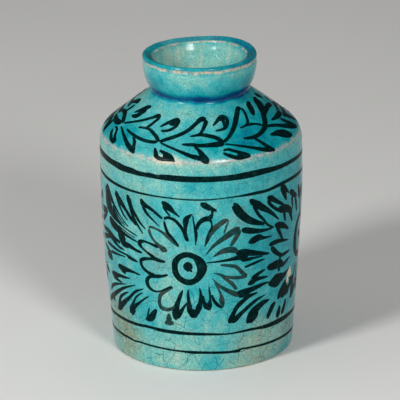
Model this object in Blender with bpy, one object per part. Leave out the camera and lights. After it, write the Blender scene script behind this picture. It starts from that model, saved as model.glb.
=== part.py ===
"""Glazed fritware vase with a sloping shoulder and a cupped mouth.

Metres, +Z up.  The origin is the centre of the foot, on the surface that the vase stands on.

The vase is built the way a potter builds it: a floor, a wall, a shoulder, a collar and a mouth
are made one by one and luted together, each with a tongue that enters a groove of the next.
Soft rolls of clay are pressed into two of the seams from inside.  The glaze lies over the clay
as coats of its own, thick in the groove of the neck and stopping just short of the foot.

Every piece is turned about the same axis.  The finished outline, which is the face of the
glaze, is the master shape: clay and glaze are both set in from it by named thicknesses.
"""

import math

import bmesh
import bpy

# Driving dimensions of the finished outline
FOOT_DIAMETER = 0.0932
SHOULDER_DIAMETER = 0.1044
WALL_HEIGHT = 0.1123
WALL_SWELL = 1.8
SHOULDER_TURN_RADIUS = 0.0095
SHOULDER_SLOPE = math.radians(39.0)
NECK_DIAMETER = 0.0506
NECK_GROOVE_HEIGHT = 0.0013
MOUTH_DIAMETER = 0.0590
MOUTH_SWELL_HEIGHT = 0.0133
MOUTH_UPRIGHT_HEIGHT = 0.0023
LIP_WIDTH = 0.0057
LIP_OUTER_ROUND = 0.0015
LIP_INNER_ROUND = 0.0007
LIP_FALL = 0.0014
FUNNEL_DEPTH = 0.0170

# Thicknesses
CLAY_THICKNESS = 0.0044
GLAZE_THICKNESS = 0.0006
NECK_WALL_THICKNESS = 0.0057
FLOOR_THICKNESS = 0.0070
THROAT_EDGE_THICKNESS = 0.0029

# Foot
FOOT_RECESS = 0.0025
FOOT_RING_WIDTH = 0.0070
FOOT_BEVEL = 0.0010
FLOOR_LEDGE_HEIGHT = 0.0045
GLAZE_STOP = 0.0018

# Luted seams
SEAM_GAP = 0.0003
WALL_TONGUE_HEIGHT = 0.0025
COLLAR_TONGUE_HEIGHT = 0.0013
COLLAR_SEAT_DEPTH = 0.0016
MOUTH_SEAT_RISE = 0.0008
SEAM_COIL_HEIGHT = 0.0064
SEAM_COIL_THICKNESS = 0.0018
FLOOR_COIL_LEG = 0.0040
FLOOR_COIL_EDGE = 0.0004

# Pool of glaze in the groove of the neck
POOL_REACH = 0.0022
POOL_RISE = 0.0012

# Fineness of the turned meshes
SIDES = 40
WALL_STEPS = 7
TURN_STEPS = 5
SWELL_STEPS = 5
LIP_STEPS = 3
FUNNEL_STEPS = 6
POOL_STEPS = 4
COIL_STEPS = 4
MERGE_DISTANCE = 0.000001
SHARP_ANGLE = math.radians(40.0)

# Radii and levels that follow from the driving dimensions
FOOT_RADIUS = FOOT_DIAMETER / 2
SHOULDER_RADIUS = SHOULDER_DIAMETER / 2
NECK_RADIUS = NECK_DIAMETER / 2
MOUTH_RADIUS = MOUTH_DIAMETER / 2
THROAT_RADIUS = NECK_RADIUS - NECK_WALL_THICKNESS
LIP_INNER_RADIUS = MOUTH_RADIUS - LIP_WIDTH
CLAY_DEPTH = GLAZE_THICKNESS + SEAM_GAP
INSIDE_DEPTH = CLAY_DEPTH + CLAY_THICKNESS
TURN_SWEEP = math.pi / 2 - SHOULDER_SLOPE
TURN_CENTRE_RADIUS = SHOULDER_RADIUS - SHOULDER_TURN_RADIUS
TURN_TOP_RADIUS = TURN_CENTRE_RADIUS + SHOULDER_TURN_RADIUS * math.cos(TURN_SWEEP)
TURN_TOP_LEVEL = WALL_HEIGHT + SHOULDER_TURN_RADIUS * math.sin(TURN_SWEEP)
NECK_LEVEL = TURN_TOP_LEVEL + (TURN_TOP_RADIUS - NECK_RADIUS) * math.tan(SHOULDER_SLOPE)
GROOVE_TOP = NECK_LEVEL + NECK_GROOVE_HEIGHT
MOUTH_WIDEST_LEVEL = GROOVE_TOP + MOUTH_SWELL_HEIGHT
LIP_TOP = MOUTH_WIDEST_LEVEL + MOUTH_UPRIGHT_HEIGHT + LIP_OUTER_ROUND
FUNNEL_TOP = LIP_TOP - LIP_FALL - LIP_INNER_ROUND
FLOOR_TOP = FOOT_RECESS + FLOOR_THICKNESS
SHOULDER_SEAM = WALL_HEIGHT - SEAM_COIL_HEIGHT / 2 - SEAM_GAP
COLLAR_SEAT = NECK_LEVEL - COLLAR_SEAT_DEPTH
MOUTH_SEAT = GROOVE_TOP + MOUTH_SEAT_RISE
THROAT_UNDERSIDE = COLLAR_SEAT - THROAT_EDGE_THICKNESS
POOL_TOP = GROOVE_TOP + POOL_RISE

# Colours of the fired clay and of the glaze
CLAY_COLOUR = (0.60, 0.50, 0.38, 1.0)
LUTING_COLOUR = (0.52, 0.42, 0.31, 1.0)
GLAZE_COLOUR = (0.06, 0.42, 0.50, 1.0)
POOL_COLOUR = (0.01, 0.12, 0.30, 1.0)


def material(name, colour, roughness):
    """Return a Principled material of one colour; nothing on the vase is metal."""
    finish = bpy.data.materials.new(name)
    finish.use_nodes = True
    shader = finish.node_tree.nodes["Principled BSDF"]
    shader.inputs["Base Color"].default_value = colour
    shader.inputs["Roughness"].default_value = roughness
    shader.inputs["Metallic"].default_value = 0.0
    finish.diffuse_color = colour
    return finish


def turned_piece(name, section, finish, solid_to_axis=False):
    """Spin a section of (radius, level) points about the vase's axis into one closed piece.

    A ring's section is a closed outline.  A piece that is solid to the axis has an open one,
    whose first and last points lie on the axis.
    """
    work = bmesh.new()
    corners = [work.verts.new((radius, 0.0, level)) for radius, level in section]
    edges = [work.edges.new(pair) for pair in zip(corners, corners[1:])]
    if not solid_to_axis:
        edges.append(work.edges.new((corners[-1], corners[0])))
    bmesh.ops.spin(
        work,
        geom=corners + edges,
        cent=(0.0, 0.0, 0.0),
        axis=(0.0, 0.0, 1.0),
        angle=2 * math.pi,
        steps=SIDES,
        use_merge=True,
    )
    bmesh.ops.remove_doubles(work, verts=work.verts, dist=MERGE_DISTANCE)
    bmesh.ops.recalc_face_normals(work, faces=work.faces)
    mesh = bpy.data.meshes.new(name)
    work.to_mesh(mesh)
    work.free()
    mesh.materials.append(finish)
    mesh.shade_smooth()
    mesh.set_sharp_from_angle(angle=SHARP_ANGLE)
    piece = bpy.data.objects.new(name, mesh)
    bpy.context.collection.objects.link(piece)
    return piece


def evenly(start, stop, steps):
    """Return steps + 1 values from start to stop."""
    return [start + (stop - start) * step / steps for step in range(steps + 1)]


def arc(centre, radii, start_angle, stop_angle, steps):
    """Return points of an arc of a circle or ellipse; radii are (across, upward)."""
    return [
        (centre[0] + radii[0] * math.cos(angle), centre[1] + radii[1] * math.sin(angle))
        for angle in evenly(start_angle, stop_angle, steps)
    ]


def wall_radius(level, depth=0.0):
    """Radius of the wall at a level: it leaves the foot steeply and swells to the shoulder."""
    share_left = max(0.0, 1.0 - level / WALL_HEIGHT)
    swell = 1.0 - share_left ** WALL_SWELL
    return FOOT_RADIUS + (SHOULDER_RADIUS - FOOT_RADIUS) * swell - depth


def wall_line(bottom, top, depth, steps=WALL_STEPS):
    """The wall's outline from one level up to another, set in by a depth."""
    return [(wall_radius(level, depth), level) for level in evenly(bottom, top, steps)]


def shoulder_turn(depth):
    """The round edge between the wall and the shoulder's slope, set in by a depth."""
    radius = SHOULDER_TURN_RADIUS - depth
    return arc((TURN_CENTRE_RADIUS, WALL_HEIGHT), (radius, radius), 0.0, TURN_SWEEP, TURN_STEPS)


def slope_level(radius, depth):
    """Level of the shoulder's slope at a radius, set in by a depth."""
    drop = depth / math.cos(SHOULDER_SLOPE)
    return NECK_LEVEL - drop + (NECK_RADIUS - radius) * math.tan(SHOULDER_SLOPE)


def slope_radius(level, depth):
    """Radius of the shoulder's slope at a level, set in by a depth."""
    drop = depth / math.cos(SHOULDER_SLOPE)
    return NECK_RADIUS + (NECK_LEVEL - drop - level) / math.tan(SHOULDER_SLOPE)


def mouth_swell():
    """Outside of the mouth: one arc from the groove up to where the wall stands upright."""
    spread = MOUTH_RADIUS - NECK_RADIUS
    radius = (spread ** 2 + MOUTH_SWELL_HEIGHT ** 2) / (2 * spread)
    start = math.atan2(-MOUTH_SWELL_HEIGHT, radius - spread)
    centre = (MOUTH_RADIUS - radius, MOUTH_WIDEST_LEVEL)
    return arc(centre, (radius, radius), start, 0.0, SWELL_STEPS)


def funnel():
    """Inside of the mouth: it leaves the lip upright, narrows, and is upright at the throat."""
    narrowing = LIP_INNER_RADIUS - THROAT_RADIUS
    return [
        (THROAT_RADIUS + narrowing * (1.0 + math.cos(angle)) / 2,
         FUNNEL_TOP - FUNNEL_DEPTH * angle / math.pi)
        for angle in evenly(0.0, math.pi, FUNNEL_STEPS)
    ]


def mouth_outline():
    """Finished outline of the mouth: up the outside, over the lip, down funnel and throat."""
    outer_centre = (MOUTH_RADIUS - LIP_OUTER_ROUND, LIP_TOP - LIP_OUTER_ROUND)
    inner_centre = (LIP_INNER_RADIUS + LIP_INNER_ROUND, FUNNEL_TOP)
    outer_round = (LIP_OUTER_ROUND, LIP_OUTER_ROUND)
    inner_round = (LIP_INNER_ROUND, LIP_INNER_ROUND)
    outline = mouth_swell()
    outline += arc(outer_centre, outer_round, 0.0, math.pi / 2, LIP_STEPS)
    outline += arc(inner_centre, inner_round, math.pi / 2, math.pi, LIP_STEPS - 1)
    outline += funnel()[1:]
    outline.append((THROAT_RADIUS, THROAT_UNDERSIDE))
    return outline


def set_in(outline, depth):
    """Move an open outline to its right-hand side by a depth, with mitred corners."""
    moved = []
    for index, (radius, level) in enumerate(outline):
        before = outline[max(index - 1, 0)]
        after = outline[min(index + 1, len(outline) - 1)]
        normals = []
        for start, end in ((before, (radius, level)), ((radius, level), after)):
            across, up = end[0] - start[0], end[1] - start[1]
            length = math.hypot(across, up)
            if length > MERGE_DISTANCE:
                normals.append((-up / length, across / length))
        across = sum(normal[0] for normal in normals) / len(normals)
        up = sum(normal[1] for normal in normals) / len(normals)
        stretch = depth / (across ** 2 + up ** 2)
        moved.append((radius + across * stretch, level + up * stretch))
    return moved


def above(outline, level):
    """Cut an outline that rises and falls again off at a level; keep what is above."""
    kept = []
    for start, end in zip(outline, outline[1:]):
        if start[1] > level:
            kept.append(start)
        if (start[1] > level) != (end[1] > level):
            share = (level - start[1]) / (end[1] - start[1])
            kept.append((start[0] + (end[0] - start[0]) * share, level))
    return kept


def throat_line(top, bottom, depth):
    """The inside's outline from one level down to another, set in by a depth."""
    inside = set_in(mouth_outline(), depth)[-FUNNEL_STEPS - 2:]
    line = []
    for start, end in zip(inside, inside[1:]):
        for level in (top, bottom):
            if end[1] <= level < start[1]:
                share = (level - start[1]) / (end[1] - start[1])
                line.append((start[0] + (end[0] - start[0]) * share, level))
        if bottom < end[1] < top:
            line.append(end)
    return line


def tongue(outer, inner, seat, height, clearance=0.0):
    """Seat of a luted seam, from the outer radius to the inner, with a tongue along its middle.

    A clearance widens the tongue into the groove that takes it, a gap away all round.
    """
    third = (outer - inner) / 3
    high, low = outer - third + clearance, inner + third - clearance
    return [(outer, seat), (high, seat), (high, seat + height), (low, seat + height), (low, seat),
            (inner, seat)]


def floor_slab(finish):
    """The floor: a disc with a stepped edge that drops onto the ledge of the foot ring."""
    step = FLOOR_LEDGE_HEIGHT + SEAM_GAP
    hole = foot_ring_hole() - SEAM_GAP
    edge = INSIDE_DEPTH + SEAM_GAP
    section = [
        (0.0, FOOT_RECESS),
        (hole, FOOT_RECESS),
        (hole, step),
        (wall_radius(step, edge), step),
        (wall_radius(FLOOR_TOP, edge), FLOOR_TOP),
        (0.0, FLOOR_TOP),
    ]
    return turned_piece("floor_slab", section, finish, solid_to_axis=True)


def foot_ring_hole():
    """Radius of the hole inside the foot ring."""
    return wall_radius(0.0, CLAY_DEPTH) - FOOT_RING_WIDTH


def body_wall(finish):
    """The wall with its foot ring, ledge for the floor, and tongue for the shoulder."""
    outside = [(wall_radius(0.0, CLAY_DEPTH) - FOOT_BEVEL, 0.0)]
    outside += wall_line(FOOT_BEVEL, SHOULDER_SEAM, CLAY_DEPTH)
    inside = wall_line(SHOULDER_SEAM, FLOOR_LEDGE_HEIGHT, INSIDE_DEPTH)
    top = tongue(outside[-1][0], inside[0][0], SHOULDER_SEAM, WALL_TONGUE_HEIGHT)
    ledge = [
        (foot_ring_hole(), FLOOR_LEDGE_HEIGHT),
        (foot_ring_hole(), 0.0),
    ]
    return turned_piece("body_wall", outside[:-1] + top + inside[1:] + ledge, finish)


def shoulder(finish):
    """The shoulder: round edge, slope and flat seat, with grooves for both its neighbours."""
    foot = SHOULDER_SEAM + SEAM_GAP
    throat = THROAT_RADIUS + CLAY_DEPTH
    outside = shoulder_turn(CLAY_DEPTH) + [(slope_radius(COLLAR_SEAT, CLAY_DEPTH), COLLAR_SEAT)]
    inside = [(slope_radius(THROAT_UNDERSIDE, INSIDE_DEPTH), THROAT_UNDERSIDE)]
    inside += reversed(shoulder_turn(INSIDE_DEPTH))
    seat = tongue(outside[-1][0], throat, COLLAR_SEAT, -COLLAR_TONGUE_HEIGHT, SEAM_GAP)
    # The groove follows the wall's own tongue, so it is worked out at the wall's seam
    groove = tongue(
        wall_radius(SHOULDER_SEAM, CLAY_DEPTH),
        wall_radius(SHOULDER_SEAM, INSIDE_DEPTH),
        foot,
        WALL_TONGUE_HEIGHT,
        SEAM_GAP,
    )
    edge = [(throat, THROAT_UNDERSIDE)]
    return turned_piece("shoulder", outside[:-1] + seat + edge + inside + groove[::-1], finish)


def neck_collar(finish):
    """The collar that joins the shoulder to the mouth and forms the groove of the neck."""
    bottom = COLLAR_SEAT + SEAM_GAP
    outer = NECK_RADIUS - CLAY_DEPTH
    inside = throat_line(MOUTH_SEAT, bottom, CLAY_DEPTH)
    # The lower tongue matches the groove in the shoulder's seat
    seat_edge = slope_radius(COLLAR_SEAT, CLAY_DEPTH)
    lower = tongue(seat_edge, inside[-1][0], bottom, -COLLAR_TONGUE_HEIGHT)
    foot_edge = (slope_radius(bottom, CLAY_DEPTH), bottom)
    upper = tongue(outer, inside[0][0], MOUTH_SEAT, COLLAR_TONGUE_HEIGHT)
    flare = (outer, slope_level(outer, CLAY_DEPTH))
    section = lower[:0:-1] + [foot_edge, flare] + upper + inside[1:-1]
    return turned_piece("neck_collar", section, finish)


def mouth_cup(finish):
    """The cupped mouth: swelling outside, sloping lip, and a funnel that leads to the throat."""
    bottom = MOUTH_SEAT + SEAM_GAP
    cup = above(set_in(mouth_outline(), CLAY_DEPTH), bottom)
    collar = NECK_RADIUS - CLAY_DEPTH
    throat = throat_line(MOUTH_SEAT, COLLAR_SEAT, CLAY_DEPTH)[0][0]
    groove = tongue(collar, throat, bottom, COLLAR_TONGUE_HEIGHT, SEAM_GAP)
    return turned_piece("mouth_cup", cup + groove[-2:0:-1], finish)


def floor_seam_coil(finish):
    """Roll of clay pressed into the corner between the floor and the wall, smoothed hollow."""
    bottom = FLOOR_TOP + SEAM_GAP
    top = bottom + FLOOR_COIL_LEG
    back = INSIDE_DEPTH + SEAM_GAP
    corner = wall_radius(bottom, back)
    front = corner - FLOOR_COIL_LEG
    hollow = FLOOR_COIL_LEG - FLOOR_COIL_EDGE
    section = [(front, bottom), (corner, bottom), (wall_radius(top, back), top)]
    section += arc((front, top), (hollow, hollow), 0.0, -math.pi / 2, COIL_STEPS)
    return turned_piece("floor_seam_coil", section, finish)


def shoulder_seam_coil(finish):
    """Bead of clay pressed over the inside of the seam between the wall and the shoulder."""
    bottom = SHOULDER_SEAM - SEAM_COIL_HEIGHT / 2
    top = SHOULDER_SEAM + SEAM_COIL_HEIGHT / 2
    back = wall_line(bottom, top, INSIDE_DEPTH + SEAM_GAP, steps=1)
    bead = [
        (wall_radius(SHOULDER_SEAM + SEAM_COIL_HEIGHT / 2 * math.sin(angle), INSIDE_DEPTH + SEAM_GAP)
         - SEAM_COIL_THICKNESS * math.cos(angle),
         SHOULDER_SEAM + SEAM_COIL_HEIGHT / 2 * math.sin(angle))
        for angle in evenly(math.pi / 2, -math.pi / 2, COIL_STEPS)[1:-1]
    ]
    return turned_piece("shoulder_seam_coil", back + bead, finish)


def body_glaze(finish):
    """Coat of glaze on the wall, from just above the foot up to the round edge."""
    top = WALL_HEIGHT - SEAM_GAP / 2
    outside = wall_line(GLAZE_STOP, top, 0.0)
    inside = wall_line(GLAZE_STOP, top, GLAZE_THICKNESS)
    return turned_piece("body_glaze", outside + inside[::-1], finish)


def shoulder_glaze(finish):
    """Coat of glaze on the round edge and the slope, up to the pool in the neck's groove."""
    bottom = WALL_HEIGHT + SEAM_GAP / 2
    end = pool_edge_radius() + SEAM_GAP
    outside = [(wall_radius(bottom), bottom)] + shoulder_turn(0.0)[1:]
    outside.append((end, slope_level(end, 0.0)))
    inside = [(wall_radius(bottom, GLAZE_THICKNESS), bottom)] + shoulder_turn(GLAZE_THICKNESS)[1:]
    inside.append((end, slope_level(end, GLAZE_THICKNESS)))
    return turned_piece("shoulder_glaze", outside + inside[::-1], finish)


def pool_edge_radius():
    """Radius where the pool of glaze thins out onto the shoulder."""
    return NECK_RADIUS + POOL_REACH


def neck_glaze_pool(finish):
    """Thick glaze that gathered in the groove between the shoulder and the mouth."""
    edge = pool_edge_radius()
    back = NECK_RADIUS - GLAZE_THICKNESS
    start = (edge, slope_level(edge, 0.0))
    end = above(mouth_outline(), POOL_TOP)[0]
    # The face is a hollow curve whose waist, halfway along it, has the neck's radius
    waist_level = (NECK_LEVEL + GROOVE_TOP) / 2
    pull = (2 * NECK_RADIUS - (start[0] + end[0]) / 2, 2 * waist_level - (start[1] + end[1]) / 2)
    face = [
        tuple((1 - share) ** 2 * a + 2 * share * (1 - share) * b + share ** 2 * c
              for a, b, c in zip(start, pull, end))
        for share in evenly(0.0, 1.0, POOL_STEPS)
    ]
    section = face + [
        above(set_in(mouth_outline(), GLAZE_THICKNESS), POOL_TOP)[0],
        (back, GROOVE_TOP),
        (back, slope_level(back, GLAZE_THICKNESS)),
        (edge, slope_level(edge, GLAZE_THICKNESS)),
    ]
    return turned_piece("neck_glaze_pool", section, finish)


def mouth_glaze(finish):
    """Coat of glaze over the outside of the mouth, its lip and its funnel."""
    bottom = POOL_TOP + SEAM_GAP
    outside = above(mouth_outline(), bottom)
    inside = above(set_in(mouth_outline(), GLAZE_THICKNESS), bottom)
    return turned_piece("mouth_glaze", outside + inside[::-1], finish)


def throat_glaze(finish):
    """Sleeve of glaze that ran down the throat as far as the shoulder's inner edge."""
    face = throat_line(POOL_TOP, THROAT_UNDERSIDE, 0.0)
    back = throat_line(POOL_TOP, THROAT_UNDERSIDE, GLAZE_THICKNESS)
    return turned_piece("throat_glaze", face + back[::-1], finish)


def build_vase():
    """Empty the scene and make every piece of the vase."""
    for old in list(bpy.data.objects):
        bpy.data.objects.remove(old)
    clay = material("fired_clay", CLAY_COLOUR, 0.85)
    luting = material("luting_clay", LUTING_COLOUR, 0.90)
    glaze = material("turquoise_glaze", GLAZE_COLOUR, 0.18)
    pool = material("pooled_glaze", POOL_COLOUR, 0.10)
    for make in (floor_slab, body_wall, shoulder, neck_collar, mouth_cup):
        make(clay)
    for make in (floor_seam_coil, shoulder_seam_coil):
        make(luting)
    for make in (body_glaze, shoulder_glaze, mouth_glaze, throat_glaze):
        make(glaze)
    neck_glaze_pool(pool)


build_vase()
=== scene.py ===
"""Looks of a glazed fritware vase with a sloping shoulder and a cupped mouth.

Metres, +Z up, the centre of the foot at the origin, -Y towards the viewer.

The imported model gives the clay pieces.  This script lays the fine surface over them: coats of
turquoise glaze with their crackle, pooling and wear, the bare foot, and the black brushwork under
the glaze.  Every coat and every stroke of the brush follows one outline, so they share a surface.

The brushwork is written as it lies on the unrolled vase: millimetres around, millimetres up along
the outline, and the width that the brush left there.
"""

from __future__ import annotations

import logging
import math
import random
from dataclasses import dataclass, field, fields
from enum import Enum

import bmesh
import bpy
from mathutils import Matrix, Vector


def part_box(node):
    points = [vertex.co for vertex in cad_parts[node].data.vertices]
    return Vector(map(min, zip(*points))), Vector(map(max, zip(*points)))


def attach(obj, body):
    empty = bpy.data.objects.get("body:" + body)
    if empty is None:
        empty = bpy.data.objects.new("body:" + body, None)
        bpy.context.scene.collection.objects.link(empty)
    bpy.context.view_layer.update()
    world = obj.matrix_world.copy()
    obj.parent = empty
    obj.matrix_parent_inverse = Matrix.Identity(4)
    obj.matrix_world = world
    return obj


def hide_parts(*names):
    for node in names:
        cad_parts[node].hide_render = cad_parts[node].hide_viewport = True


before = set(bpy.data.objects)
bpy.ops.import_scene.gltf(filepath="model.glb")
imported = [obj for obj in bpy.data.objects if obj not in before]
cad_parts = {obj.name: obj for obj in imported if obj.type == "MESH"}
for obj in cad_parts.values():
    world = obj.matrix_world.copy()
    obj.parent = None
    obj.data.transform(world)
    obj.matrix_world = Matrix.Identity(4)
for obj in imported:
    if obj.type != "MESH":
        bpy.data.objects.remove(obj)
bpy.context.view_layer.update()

log = logging.getLogger("vase")

MM = 0.001
SHARP_ANGLE = math.radians(50.0)
MERGE_DISTANCE = MM / 1000
Touch = tuple[float, float, float]
Colour = tuple[float, float, float]


def from_screen(colour: Colour) -> tuple[float, float, float, float]:
    """Turn a screen colour into the linear one that a shader takes.

    Args:
        colour: Red, green and blue, from 0 to 255.

    Returns:
        Linear red, green and blue, and full alpha.
    """
    shares = [value / 255 for value in colour]
    linear = [v / 12.92 if v <= 0.04045 else ((v + 0.055) / 1.055) ** 2.4 for v in shares]
    return (linear[0], linear[1], linear[2], 1.0)


# Node trees


class Signal:
    """A value inside a node tree; reckoning with it adds the nodes that do so."""

    def __init__(self, tree: bpy.types.NodeTree, socket: bpy.types.NodeSocket) -> None:
        """Keep the tree and the output socket that carries the value."""
        self.tree = tree
        self.socket = socket

    def reckon(self, operation: str, *others: Signal | float) -> Signal:
        """Add a Math node.

        Args:
            operation: Name of the Math node's operation.
            others: The operands after this one.

        Returns:
            The node's result.
        """
        node = self.tree.nodes.new("ShaderNodeMath")
        node.operation = operation
        for socket, value in zip(node.inputs, (self, *others)):
            feed(socket, value)
        return Signal(self.tree, node.outputs[0])

    def __add__(self, other: Signal | float) -> Signal:
        """Return the sum."""
        return self.reckon("ADD", other)

    def __sub__(self, other: Signal | float) -> Signal:
        """Return the difference."""
        return self.reckon("SUBTRACT", other)

    def __rsub__(self, other: float) -> Signal:
        """Return a plain number less this value."""
        return (self * -1.0) + other

    def __mul__(self, other: Signal | float) -> Signal:
        """Return the product."""
        return self.reckon("MULTIPLY", other)

    def __truediv__(self, other: Signal | float) -> Signal:
        """Return the quotient."""
        return self.reckon("DIVIDE", other)


Fed = Signal | float | int | bool | str | tuple | bpy.types.ID | bpy.types.NodeSocket | None


def feed(socket: bpy.types.NodeSocket, value: Fed) -> None:
    """Join a value to an input socket, or write it there if it is a plain one.

    Args:
        socket: The input socket.
        value: A signal, another node's output socket, or a plain value.
    """
    if isinstance(value, Signal):
        value = value.socket
    if isinstance(value, bpy.types.NodeSocket):
        socket.id_data.links.new(value, socket)
    elif value is not None:
        socket.default_value = value


class Wiring:
    """Adds nodes to one tree and joins them."""

    def __init__(self, tree: bpy.types.NodeTree) -> None:
        """Keep the tree."""
        self.tree = tree

    def node(self, kind: str, feeds: dict[str | int, Fed], **settings: object) -> bpy.types.Node:
        """Add a node.

        Args:
            kind: The node's type name.
            feeds: What goes into its inputs, by identifier or index.
            settings: The node's own properties.

        Returns:
            The new node.
        """
        node = self.tree.nodes.new(kind)
        for name, value in settings.items():
            setattr(node, name, value)
        self.fill(node, feeds)
        return node

    def fill(self, node: bpy.types.Node, feeds: dict[str | int, Fed]) -> None:
        """Feed a node's inputs.

        Args:
            node: The node.
            feeds: What goes into its inputs, by identifier or index.
        """
        for key, value in feeds.items():
            if isinstance(key, int):
                feed(node.inputs[key], value)
            else:
                feed(next(s for s in node.inputs if s.identifier == key), value)

    def get(self, kind: str, feeds: dict[str | int, Fed], output: int = 0,
            **settings: object) -> Signal:
        """Add a node and return one of its outputs.

        Args:
            kind: The node's type name.
            feeds: What goes into its inputs.
            output: Index of the output wanted.
            settings: The node's own properties.

        Returns:
            The output's value.
        """
        return Signal(self.tree, self.node(kind, feeds, **settings).outputs[output])

    def vector(self, operation: str, *values: Fed) -> Signal:
        """Add a Vector Math node.

        Args:
            operation: Name of the node's operation.
            values: The operands.

        Returns:
            The node's result: a number for a distance, or else a vector.
        """
        keys = (0, 3) if operation == "SCALE" else (0, 1)
        output = 1 if operation == "DISTANCE" else 0
        return self.get("ShaderNodeVectorMath", dict(zip(keys, values)), output,
                        operation=operation)

    def join(self, x: Fed, y: Fed, z: Fed) -> Signal:
        """Return a vector of three values."""
        return self.get("ShaderNodeCombineXYZ", {0: x, 1: y, 2: z})

    def split(self, vector: Signal) -> tuple[Signal, Signal, Signal]:
        """Return the three values of a vector."""
        node = self.node("ShaderNodeSeparateXYZ", {0: vector})
        return tuple(Signal(self.tree, node.outputs[i]) for i in range(3))

    def ease(self, value: Fed, low: Fed, high: Fed, start: Fed = 0.0, stop: Fed = 1.0) -> Signal:
        """Return a smooth step from start to stop while value goes from low to high."""
        feeds = {"Value": value, "From Min": low, "From Max": high, "To Min": start, "To Max": stop}
        return self.get("ShaderNodeMapRange", feeds, interpolation_type="SMOOTHSTEP")

    def noise(self, place: Signal, scale: Fed, detail: float = 2.0,
              roughness: float = 0.5) -> Signal:
        """Return cloudy noise between 0 and 1 at a place."""
        feeds = {"Vector": place, "Scale": scale, "Detail": detail, "Roughness": roughness}
        return self.get("ShaderNodeTexNoise", feeds)

    def mix(self, share: Fed, first: Fed, second: Fed, blend: str = "MIX") -> Signal:
        """Return a mixture of two colours."""
        feeds = {"Factor_Float": share, "A_Color": first, "B_Color": second}
        return self.get("ShaderNodeMix", feeds, 2, data_type="RGBA", blend_type=blend)

    def ramp(self, value: Signal, stops: tuple[tuple[float, tuple], ...]) -> Signal:
        """Add a colour ramp.

        Args:
            value: What is looked up.
            stops: Position and colour of each stop, in order.

        Returns:
            The colour.
        """
        node = self.node("ShaderNodeValToRGB", {0: value})
        elements = node.color_ramp.elements
        while len(elements) < len(stops):
            elements.new(0.5)
        for element, (position, colour) in zip(elements, stops):
            element.position = position
            element.color = colour
        return Signal(self.tree, node.outputs[0])

    def millimetres(self) -> Signal:
        """Return a shader's place on its object, in millimetres."""
        return self.vector("SCALE", self.get("ShaderNodeTexCoord", {}, 3), 1.0 / MM)

    def carried(self, name: str) -> Signal:
        """Return a number that the shaded mesh carries under a name."""
        return self.get("ShaderNodeAttribute", {}, 2, attribute_name=name)

    def bump(self, height: Signal, distance: float, strength: float) -> Signal:
        """Return the normal that a relief gives."""
        feeds = {"Height": height, "Distance": distance, "Strength": strength}
        return self.get("ShaderNodeBump", feeds)


# The outline of the vase


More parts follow.
